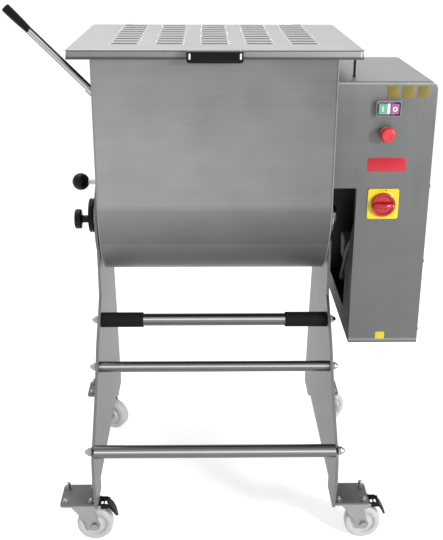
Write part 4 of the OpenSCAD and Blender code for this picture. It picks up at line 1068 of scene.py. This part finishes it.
class OBJECT_OT_mixer_fasteners(bpy.types.Operator):
    """Make the bolts of the castors, the domed nuts of the bars and the screws of the cover"""
    bl_idname = "object.mixer_fasteners"
    bl_label = "Fasteners"
    bl_options = {"REGISTER", "UNDO"}

    def execute(self, context):
        self.castor_bolts()
        self.bar_nuts()
        self.cover_screws()
        return {"FINISHED"}

    def castor_bolts(self):
        """A hexagon head under the castor's plate, a washer and a nut with the thread's end on top, longer at
        the rear of each plate.
        """
        washer_t, off = 1.2 * MM, 28 * MM
        washer = disc(6.6 * MM, 0, washer_t, 0.4 * MM)
        nut, head = hex_head(9.4 * MM, 5 * MM), hex_head(12 * MM, 4 * MM)
        threads = {end: disc(3.9 * MM, 0, long, 1.6 * MM) for end, long in ((-1, 8.5 * MM), (1, 13 * MM))}
        top, bottom = corners("base_plates")[1][2], corners("castor_tops")[1][2] - 3.5 * MM
        shells = []
        for corner in CORNERS:
            x, y, _ = JOINTS["swivel_" + corner]["pos_m"]
            for side in (-1, 1):
                for end in (-1, 1):
                    at = np.array([x + side * off, y + end * off, 0])
                    shells += [seated(washer, at + [0, 0, top]), seated(nut, at + [0, 0, top + washer_t]),
                               seated(threads[end], at + [0, 0, top]),
                               seated(head, at + [0, 0, bottom], axes((0, 0, -1)))]
        piece("castor_bolt_sets", shells, FINISHES["fitting"], "frame", ["castor_bolts"])

    def bar_nuts(self):
        """A washer and a domed nut at each end of the three bars."""
        washer_t = 1.5 * MM
        washer, nut = disc(10.2 * MM, 0, washer_t, 0.4 * MM), hex_head(14.7 * MM, 7 * MM, dome=6.8 * MM)
        shells = []
        for node in ("rest_bar", "middle_bar", "foot_bar"):
            _, y, z = middle(node)
            for side, face in ((-1, corners("left_leg")[0][0]), (1, corners("right_leg")[1][0])):
                turn = axes((side, 0, 0), (0, 0, 1))
                shells += [seated(washer, (face, y, z), turn),
                           seated(nut, (face + side * washer_t, y, z), turn)]
        piece("bar_dome_nuts", shells, FINISHES["fitting"], "frame", ["bar_nuts"])

    def cover_screws(self):
        """Low round heads with a hexagon socket, at the six places of the box's cover. The middle ones sit a
        little under half height.
        """
        low, high = corners("cover_screws")
        head_r, across, rise, floor = 5 * MM, 3 * MM, 2.5 * MM, 1.1 * MM
        angle, flat = hexagon(across)
        dome = lathe([[head_r, 0]] + arc(3.4 * MM, 0.9 * MM, 1.6 * MM, 0, 90, 6))
        socket = np.array([np.column_stack([flat * np.cos(angle) * share, flat * np.sin(angle) * share,
                                            np.full(len(angle), z)])
                           for share, z in ((1, rise), (1, floor), (0.2, floor - 0.1 * MM))])
        head = np.concatenate([dome, socket])
        heights = low[2] + head_r + (high[2] - low[2] - 2 * head_r) * np.array([0, 0.4912, 1])
        turn = axes((1, 0, 0), (0, 0, 1))
        shells = [seated(head, (low[0], y, z), turn)
                  for y in (low[1] + head_r, high[1] - head_r) for z in heights]
        piece("cover_screw_heads", shells, FINISHES["moulded"], "tub", ["cover_screws"])


class OBJECT_OT_mixer_pedals(bpy.types.Operator):
    """Mould the brake pedals: two cheeks joined by rungs, an upright tab and a leaf shaped tread"""
    bl_idname = "object.mixer_pedals"
    bl_label = "Brake pedals"
    bl_options = {"REGISTER", "UNDO"}

    def execute(self, context):
        shells = self.cheeks() + self.rungs()
        tab = stack(round_rectangle(3 * MM, 10 * MM, 1 * MM, 4),
                    [[0, 90 * MM], [0, 95 * MM], [0.9 * MM, 98 * MM], [1.3 * MM, 99 * MM]])
        shells += [seated(tab, (61.5 * MM, 0, 0)), shell(self.tread())]
        for side, corner in (("left", "fl"), ("right", "fr")):
            x, y, _ = JOINTS["swivel_" + corner]["pos_m"]
            moved = [(points + [x, y, 0], faces) for points, faces in shells]
            piece("brake_pedal_" + side, moved, FINISHES["moulded"], "brake_" + corner[1], ["pedal_" + side])
        return {"FINISHED"}

    def cheeks(self):
        """The two side plates: an outline in X and Z, drawn in towards its middle at their rounded edges."""
        cheek = np.array([[38, 94.5], [60, 94.5], [66, 90], [66, 84], [46, 82], [38, 85]]) * MM
        centre, radius, thick = cheek.mean(0), 8 * MM, 3.5 * MM

        def drawn_in(inset):
            return centre + (cheek - centre) * (1 - inset / radius)
        return [seated(stack(drawn_in, rounded(y, y + thick, 0.7 * MM, 4)), (0, 0, 0), TO_FRONT)
                for y in (-16 * MM, 12.5 * MM)]

    def rungs(self):
        """Two rounded bars and a pivot sleeve between the cheeks."""
        reach = 13 * MM
        shells = []
        for x, z, wide, high in ((53.5, 92, 3, 4), (64, 92, 4, 4)):
            rung = stack(round_rectangle(wide * MM, high * MM, 1 * MM, 4), [[0, -reach], [0, reach]])
            shells.append(seated(rung, (x * MM, 0, z * MM), TO_FRONT))
        sleeve = lathe(np.array([[3.7, -12.8], [5, -12.8], [5, 12.8], [3.7, 12.8]]) * MM, 32)
        shells.append(loop_shell(placed(sleeve, (42 * MM, 0, 89.7 * MM), TO_FRONT)))
        return shells

    def tread(self):
        """A leaf: rings of w c^0.4 across and h s^0.4 over, of the cosine and the sine, carried along a bent
        path, whose half width w swells and narrows. All its numbers are millimetres.
        """
        over = 2.7
        share = np.linspace(0, 3, 19)
        x, z = (np.interp(share, range(4), row) for row in ((64, 70, 76, 81), (88, 81, 71, 56)))
        wide = np.interp(share, [0, 1, 1.6, 2.4, 2.8, 3], [15, 16, 15, 10.5, 6, 3])
        run = np.gradient(np.column_stack([x, z]), axis=0)
        run /= np.linalg.norm(run, axis=1)[:, None]
        angle = np.linspace(0, 2 * np.pi, 28, endpoint=False)
        c, s = (np.sign(wave) * np.abs(wave) ** 0.4 for wave in (np.cos(angle), np.sin(angle)))
        rings = np.zeros((len(share), len(angle), 3))
        rings[..., 0] = x[:, None] - over * s * run[:, 1:]
        rings[..., 1] = wide[:, None] * c
        rings[..., 2] = z[:, None] + over * s * run[:, :1]
        return rings * MM


class OBJECT_OT_mixer_push_buttons(bpy.types.Operator):
    """Make the double push button: milky cover, two caps with I and O, and the lamp between them"""
    bl_idname = "object.mixer_push_buttons"
    bl_label = "Push buttons"
    bl_options = {"REGISTER", "UNDO"}

    def execute(self, context):
        low, high = corners("button_block")
        deep, wall, floor = high[1] - low[1], 1.5 * MM, 1 * MM
        base = ((low[0] + high[0]) / 2, high[1], (low[2] + high[2]) / 2)
        rim = round_rectangle(high[0] - low[0], high[2] - low[2], 4.5 * MM, 8)
        levels = np.concatenate([[[0, 0]], rounded(0, deep, 1.2 * MM, 6, bottom=False)[1:],
                                 [[wall - 0.6 * MM, deep], [wall, deep - 0.6 * MM], [wall, floor]]])
        piece("button_cover", [seated(stack(rim, levels), base, TO_FRONT)], FINISHES["cover"], "tub",
              ["button_block"])
        lamp = stack(round_rectangle(6.6 * MM, 21 * MM, 1.2 * MM, 5),
                     rounded(deep - 6 * MM, deep - 0.2 * MM, 1 * MM, 5))
        piece("button_lamp", [seated(lamp, base, TO_FRONT)], FINISHES["white"], "tub",
              slot="clear_button_cover")
        self.cap("start_button", "green", "start_cap", self.bar_mark())
        self.cap("stop_button", "pink", "stop_cap", self.ring_mark())
        return {"FINISHED"}

    def cap(self, node, key, body, mark):
        """A cap with round corners and a round face, and the mark that stands on its face."""
        low, high = corners(node)
        centre, deep = middle(node), high[1] - low[1]
        outline = round_rectangle(high[0] - low[0], high[2] - low[2], 1.8 * MM, 6)
        cap = stack(outline, rounded(0, deep, 1.1 * MM, 6, bottom=False))
        piece(node + "_cap", [seated(cap, (centre[0], high[1], centre[2]), TO_FRONT)], FINISHES[key], body,
              [node])
        points, faces = mark
        face = points @ TO_FRONT.T + [centre[0], low[1], centre[2]]
        piece(node + "_mark", [(face, faces)], FINISHES["white"], body, slot=SLOT_OF[node])

    def bar_mark(self):
        """The upright stroke for on."""
        outline = round_rectangle(2 * MM, 10 * MM, 0.4 * MM, 4)
        return shell(stack(outline, rounded(-0.2 * MM, 0.25 * MM, 0.1 * MM, 3)))

    def ring_mark(self):
        """The ring for off: a small square section turned round."""
        section = [[2.6, -0.2], [4.8, -0.2], [4.8, 0.2], [4.6, 0.25], [2.8, 0.25], [2.6, 0.2]]
        return loop_shell(lathe(np.array(section) * MM, 40))


class OBJECT_OT_mixer_mushroom(bpy.types.Operator):
    """Turn the stop mushroom with its scalloped edge and dished face, and its yellow collar"""
    bl_idname = "object.mixer_mushroom"
    bl_label = "Stop mushroom"
    bl_options = {"REGISTER", "UNDO"}

    def execute(self, context):
        low, high = corners("estop_head")
        r, thick = (high[0] - low[0]) / 2, 15 * MM
        x, _, z = middle("estop_head")
        place = (x, low[1] + thick, z)
        stem = disc(7.9 * MM, -7.5 * MM, 1 * MM, 0.3 * MM)
        shells = [seated(self.head(r, thick), place, TO_FRONT), seated(stem, place, TO_FRONT)]
        for stroke in self.strokes(0.42 * r, 0.955 * thick):
            shells.append(seated(stroke, place, TO_FRONT))
        piece("stop_mushroom_head", shells, FINISHES["red"], "stop_mushroom", ["estop_head"])
        self.collar(x, z)
        return {"FINISHED"}

    def head(self, r, thick):
        """A dished cap turned about Y, whose edge draws in by 1 - cos(24 t) for its finger grips."""
        steps, grips, depth_share = 120, 24, 0.012
        profile = ([[0, 0], [0.7 * r, 0], [0.93 * r, 0.14 * thick]]
                   + arc(r - 2.4 * MM, 0.42 * thick, 2.4 * MM, -60, 40, 7) + [[0.93 * r, 0.68 * thick]]
                   + arc(0.66 * r, 0.75 * thick, 0.23 * r, 20, 84, 6)
                   + [[0.5 * r, 0.96 * thick], [0.25 * r, 0.93 * thick], [0, 0.92 * thick]])
        rings = lathe(profile, steps)
        t = np.linspace(0, 2 * np.pi, steps, endpoint=False)
        grip = 1 - depth_share * (1 - np.cos(grips * t))
        outer = (np.hypot(rings[..., 0], rings[..., 1]) > 0.85 * r)[..., None]
        rings[..., :2] *= np.where(outer, grip[None, :, None], 1)
        return rings

    def strokes(self, radius, level):
        """Three curved strokes on the face, which show the way it turns to let it out: arcs with a round
        section.
        """
        for first in (20, 140, 260):
            t = np.radians(np.linspace(first, first + 75, 14))
            path = np.column_stack([radius * np.cos(t), radius * np.sin(t), np.full(len(t), level)])
            yield carried(circle(0.55 * MM, 8)(0), path)

    def collar(self, x, z):
        """A yellow ring turned about Y, with a rounded outer edge."""
        low, high = corners("estop_collar")
        bore, foot, face, edge, thick = 8.1 * MM, 12 * MM, 9.4 * MM, 0.8 * MM, high[1] - low[1]
        profile = [[bore, 0], [foot, 0]] + arc(face, thick - edge, edge, 0, 90, 5) + [[bore, thick]]
        ring = loop_shell(placed(lathe(profile), (x, high[1], z), TO_FRONT))
        piece("stop_mushroom_collar", [ring], FINISHES["yellow"], "tub", ["estop_collar"])


class OBJECT_OT_mixer_main_switch(bpy.types.Operator):
    """Make the main switch: yellow plate with marks, and the red dial with its grip"""
    bl_idname = "object.mixer_main_switch"
    bl_label = "Main switch"
    bl_options = {"REGISTER", "UNDO"}

    def execute(self, context):
        low, high = corners("switch_plate")
        x, _, z = middle("switch_plate")
        wide, deep = high[0] - low[0], high[1] - low[1]
        base = np.array([x, high[1], z])
        plate = stack(round_rectangle(wide, wide, 5 * MM, 8), rounded(0, deep, 1.2 * MM, 6, bottom=False))
        ring_r, rise, sunk = 28.5 * MM, 0.2 * MM, 0.5 * MM
        ring = lathe([[0, deep - sunk], [ring_r, deep - sunk], [ring_r, deep - 0.05 * MM],
                      [ring_r - 0.4 * MM, deep + rise], [0, deep + rise]], 80)
        piece("switch_plate_face", [seated(plate, base, TO_FRONT), seated(ring, base, TO_FRONT)],
              FINISHES["yellow"], "tub", ["switch_plate"])
        tick, dot = round_rectangle(1.1 * MM, 2.4 * MM, 0.3 * MM, 3), circle(1.3 * MM, 24)
        edge = wide / 2 - 3.2 * MM
        marks = []
        for outline, off, up in ((tick, -4.5 * MM, edge), (dot, 4.5 * MM, edge), (tick, -edge, -4 * MM)):
            mark = stack(outline, rounded(-0.2 * MM, 0.12 * MM, 0.05 * MM, 3))
            marks.append(seated(mark, base + [off, -deep, up], TO_FRONT))
        piece("switch_plate_marks", marks, FINISHES["moulded"], "tub", slot="black_plastic")
        self.dial()
        return {"FINISHED"}

    def dial(self):
        """A dished disc turned about Y, with three small notches in its edge, and its grip."""
        low, high = corners("switch_dial")
        x, _, z = middle("switch_dial")
        r, thick, grip, steps = (high[0] - low[0]) / 2, 9 * MM, 14 * MM, 96
        place = (x, low[1] + thick + grip, z)
        profile = ([[0, 0], [r - 1 * MM, 0], [r, 1 * MM], [r, thick - 2 * MM]]
                   + arc(r - 2 * MM, thick - 2 * MM, 2 * MM, 0, 90, 5)
                   + [[r - 5 * MM, thick - 0.2 * MM], [r - 7 * MM, thick - 2 * MM], [0, thick - 2.6 * MM]])
        face = lathe(profile, steps)
        t = np.linspace(0, 2 * np.pi, steps, endpoint=False)
        notch = 1 - 0.02 * (np.cos(3 * t) > 0.97)
        face[4:8, :, :2] *= notch[None, :, None]
        bar = self.grip(r - 1.2 * MM, thick - 3 * MM, grip)
        stem = disc(4.9 * MM, -3 * MM, 0.5 * MM, 0.2 * MM)
        piece("switch_dial_grip", [seated(rings, place, TO_FRONT) for rings in (face, bar, stem)],
              FINISHES["dial"], "dial", ["switch_dial"])
        slot = stack(round_rectangle(6 * MM, 2.6 * MM, 1.2 * MM, 5), rounded(0, 1.2 * MM, 0.3 * MM, 3))
        spot = np.array(place) + [r - 6.5 * MM, -thick - 4.6 * MM, 0]
        piece("switch_dial_slot", [seated(slot, spot, TO_FRONT)], FINISHES["yellow"], "dial",
              slot="red_plastic")

    def grip(self, reach, level, high):
        """A bar over u from end to end and v round it: its height falls as a cosine of u to the power 0.7,
        its width as a half circle, and both close at the ends. It rises from the level of the dial's dish.
        """
        count, around, half_wide = 40, 28, 6.8 * MM
        u = np.linspace(-1, 1, count)[:, None]
        v = np.linspace(0, 2 * np.pi, around, endpoint=False)
        half = np.sqrt(np.clip(1 - u ** 2, 0.0004, 1))
        closing = np.minimum(1, 2.2 * half)
        width = half_wide * (0.78 + 0.22 * half) * closing
        height = high * (0.35 + 0.65 * np.cos(u * np.pi / 2) ** 0.7) * closing
        return np.stack([np.broadcast_to(u * reach, (count, around)),
                         width * np.sign(np.cos(v)) * np.abs(np.cos(v)) ** 0.7,
                         level + height * np.clip(np.sin(v), -0.15, 1)], axis=-1)


class OBJECT_OT_mixer_blank_labels(bpy.types.Operator):
    """Lay blank films on the places of the box where labels belong"""
    bl_idname = "object.mixer_blank_labels"
    bl_label = "Blank labels"
    bl_options = {"REGISTER", "UNDO"}

    def execute(self, context):
        low, high = corners("drive_box")
        switch_x, _, switch_z = middle("switch_plate")
        pitch, first = 30.8 * MM, switch_x + 6 * MM
        self.film("blank_labels", "label", "yellow_plastic", (24.5 * MM, 23.7 * MM, 1.2 * MM, 4),
                  [(first + pitch * k, low[1], high[2] - 21.5 * MM) for k in range(3)])
        self.film("blank_notice", "notice", "yellow_plastic", (20 * MM, 17 * MM, 1.2 * MM, 4),
                  [(switch_x + 13 * MM, low[1], low[2] + 17 * MM)])
        self.film("blank_badge", "badge", "red_plastic", (80 * MM, 29 * MM, 6 * MM, 8),
                  [(switch_x + 3 * MM, low[1], switch_z + 83 * MM)])
        return {"FINISHED"}

    def film(self, name, key, slot, outline, places):
        """Thin rounded rectangles on the box's front."""
        flat = stack(round_rectangle(*outline), rounded(-0.1 * MM, 0.35 * MM, 0.12 * MM, 3))
        piece(name, [seated(flat, place, TO_FRONT) for place in places], FINISHES[key], "tub", slot=slot)


class OBJECT_OT_mixer_cable(bpy.types.Operator):
    """Draw the cable inside the box as a smooth round tube on its route"""
    bl_idname = "object.mixer_cable"
    bl_label = "Inner cable"
    bl_options = {"REGISTER", "UNDO"}

    def execute(self, context):
        # the route is the construction's, whose own origin lies under the pivot of the tub
        origin = np.array(JOINTS["tub_tilt"]["pos_m"]) * [1, 1, 0]
        route = np.array([[350, -138, 723], [350, -138, 712], [346, -134, 700], [336, -122, 684],
                          [324, -100, 668], [314, -72, 652], [308, -42, 630], [304, -14, 600], [303, 8, 564],
                          [303, 30, 534], [305, 52, 511], [307, 65, 500], [311, 70, 497], [315, 69, 502],
                          [317, 64, 516], [317, 60, 530], [317, 60, 545], [317, 60, 559]]) * MM + origin
        sheath_r, up = 3.5 * MM, (0.3, 1, 0.2)
        rings = carried(circle(sheath_r, 20)(0), self.smooth(route, 160), up)
        piece("motor_cable_sheath", [shell(rings)], FINISHES["cable"], "tub", ["motor_cable"])
        return {"FINISHED"}

    def smooth(self, route, count):
        """Cubic curve through the route's points, which at each point runs along the line between the points
        before and after it.
        """
        last = len(route) - 1
        along = np.linspace(0, last, count)
        i = np.clip(along.astype(int), 0, last - 1)
        f = (along - i)[:, None]
        before, here, then, after = (route[np.clip(i + k, 0, last)] for k in (-1, 0, 1, 2))
        return 0.5 * (2 * here + (then - before) * f + (2 * before - 5 * here + 4 * then - after) * f ** 2
                      + (3 * here - before - 3 * then + after) * f ** 3)


class OBJECT_OT_mixer_stage(bpy.types.Operator):
    """Lay the pale floor, hang the soft lamps and set the camera at the photograph's angle"""
    bl_idname = "object.mixer_stage"
    bl_label = "Stage"
    bl_options = {"REGISTER", "UNDO"}

    def execute(self, context):
        scene, stage = context.scene, context.scene.mixer_stage
        self.floor(scene, stage)
        self.world(scene, stage)
        self.lamps(scene, stage)
        self.camera(scene)
        scene.view_settings.view_transform = "Standard"
        return {"FINISHED"}

    def floor(self, scene, stage):
        """A plain floor that is lifted towards white where it is seen and keeps the machine's shadow."""
        half = 30.0
        mesh = bpy.data.meshes.new("floor")
        mesh.from_pydata([(-half, -half, 0), (half, -half, 0), (half, half, 0), (-half, half, 0)], [],
                         [(0, 1, 2, 3)])
        floor = bpy.data.objects.new("floor", mesh)
        scene.collection.objects.link(floor)
        material, tree, surface, place = finish_tree("matt_studio_floor", stage.floor, 0.0, 0.85,
                                                     Emission_Color=(1, 1, 1, 1))
        cloud = add(tree, "ShaderNodeTexNoise", {"Vector": place, "Scale": 1.5, "Detail": 2})
        shade = shade_of(tree, stage.floor, 0.01, cloud.outputs[0])
        tree.links.new(shade, surface.inputs["Base Color"])
        tree.links.new(self.seen(tree, 0, stage.glow), surface.inputs["Emission Strength"])
        mesh.materials.append(material)

    def world(self, scene, stage):
        """Even white light all round, and plain white where the world itself is seen."""
        world = bpy.data.worlds.new("even_studio_light")
        world.use_nodes = True
        background = world.node_tree.nodes["Background"]
        background.inputs["Color"].default_value = (1, 1, 1, 1)
        world.node_tree.links.new(self.seen(world.node_tree, stage.world, 1), background.inputs["Strength"])
        scene.world = world

    def lamps(self, scene, stage):
        """Two square soft lamps that point at the machine's middle."""
        target = np.array([0, 0, 0.75])
        for name, power, wide, spot in (("key_lamp", stage.key, 0.6, (2.4, -2.6, 1.6)),
                                        ("top_lamp", stage.top, 2.4, (-0.6, 0.6, 3.2))):
            lamp = bpy.data.lights.new(name, "AREA")
            lamp.energy = power
            lamp.size = wide
            item = bpy.data.objects.new(name, lamp)
            turn = Matrix(axes(spot - target, (0, 1, 0.001)).tolist()).to_4x4()
            item.matrix_world = Matrix.Translation(spot) @ turn
            scene.collection.objects.link(item)

    def seen(self, tree, unseen, straight):
        """One strength where it is seen straight, in a gloss or through glass, another for its light."""
        path = add(tree, "ShaderNodeLightPath").outputs
        either = add(tree, "ShaderNodeMath", {0: path["Is Camera Ray"], 1: path["Is Glossy Ray"]},
                     operation="MAXIMUM").outputs[0]
        either = add(tree, "ShaderNodeMath", {0: either, 1: path["Is Transmission Ray"]},
                     operation="MAXIMUM").outputs[0]
        strength = add(tree, "ShaderNodeMapRange", {"Value": either, "To Min": unseen, "To Max": straight})
        return strength.outputs[0]

    def camera(self, scene):
        """The photograph's camera: its place, pitch, yaw and roll, and its focal length in pixels."""
        place = np.array([-12.8, -1952.4, 1295.0]) * MM
        pitch, yaw, roll = np.radians([20.8, 1.0, 0.2])
        focal_px, long_side_px, sensor = 908.5, 540, 36.0
        ahead = np.array([np.sin(yaw) * np.cos(pitch), np.cos(yaw) * np.cos(pitch), -np.sin(pitch)])
        right = np.array([np.cos(yaw), -np.sin(yaw), 0])
        up = np.cross(right, ahead)
        side = right * np.cos(roll) + up * np.sin(roll)
        rise = up * np.cos(roll) - right * np.sin(roll)
        data = bpy.data.cameras.new("photo_camera")
        data.sensor_width = sensor
        data.lens = focal_px / long_side_px * sensor
        data.clip_end = 200
        item = bpy.data.objects.new("photo_camera", data)
        turn = Matrix(np.column_stack([side, rise, -ahead]).tolist()).to_4x4()
        item.matrix_world = Matrix.Translation(place) @ turn
        scene.collection.objects.link(item)
        scene.camera = item


STEPS = [OBJECT_OT_mixer_stage, OBJECT_OT_mixer_finishes, OBJECT_OT_mixer_sheets, OBJECT_OT_mixer_lid,
         OBJECT_OT_mixer_lid_handle, OBJECT_OT_mixer_knobs, OBJECT_OT_mixer_sleeves, OBJECT_OT_mixer_wheels,
         OBJECT_OT_mixer_fasteners, OBJECT_OT_mixer_pedals, OBJECT_OT_mixer_push_buttons,
         OBJECT_OT_mixer_mushroom, OBJECT_OT_mixer_main_switch, OBJECT_OT_mixer_blank_labels,
         OBJECT_OT_mixer_cable]


class VIEW3D_PT_mixer(bpy.types.Panel):
    """Lists the mixer's steps and its sizes and colours"""
    bl_label = "Meat mixer"
    bl_space_type = "VIEW_3D"
    bl_region_type = "UI"
    bl_category = "Mixer"

    def draw(self, context):
        for step in STEPS:
            self.layout.operator(step.bl_idname)
        for name, group in GROUPS.items():
            column = self.layout.column(heading=group.bl_rna.name)
            for key in group.__annotations__:
                column.prop(getattr(context.scene, name), key)


def register():
    """Registers the groups, the operators and the panel."""
    for name, group in GROUPS.items():
        bpy.utils.register_class(group)
        setattr(bpy.types.Scene, name, bpy.props.PointerProperty(type=group))
    for step in STEPS + [VIEW3D_PT_mixer]:
        bpy.utils.register_class(step)


def unregister():
    """Takes them away again."""
    for step in reversed(STEPS + [VIEW3D_PT_mixer]):
        bpy.utils.unregister_class(step)
    for name, group in GROUPS.items():
        delattr(bpy.types.Scene, name)
        bpy.utils.unregister_class(group)


def main():
    register()
    for step in STEPS:
        area, name = step.bl_idname.split(".")
        getattr(getattr(bpy.ops, area), name)()


if __name__ == "__main__":
    main()
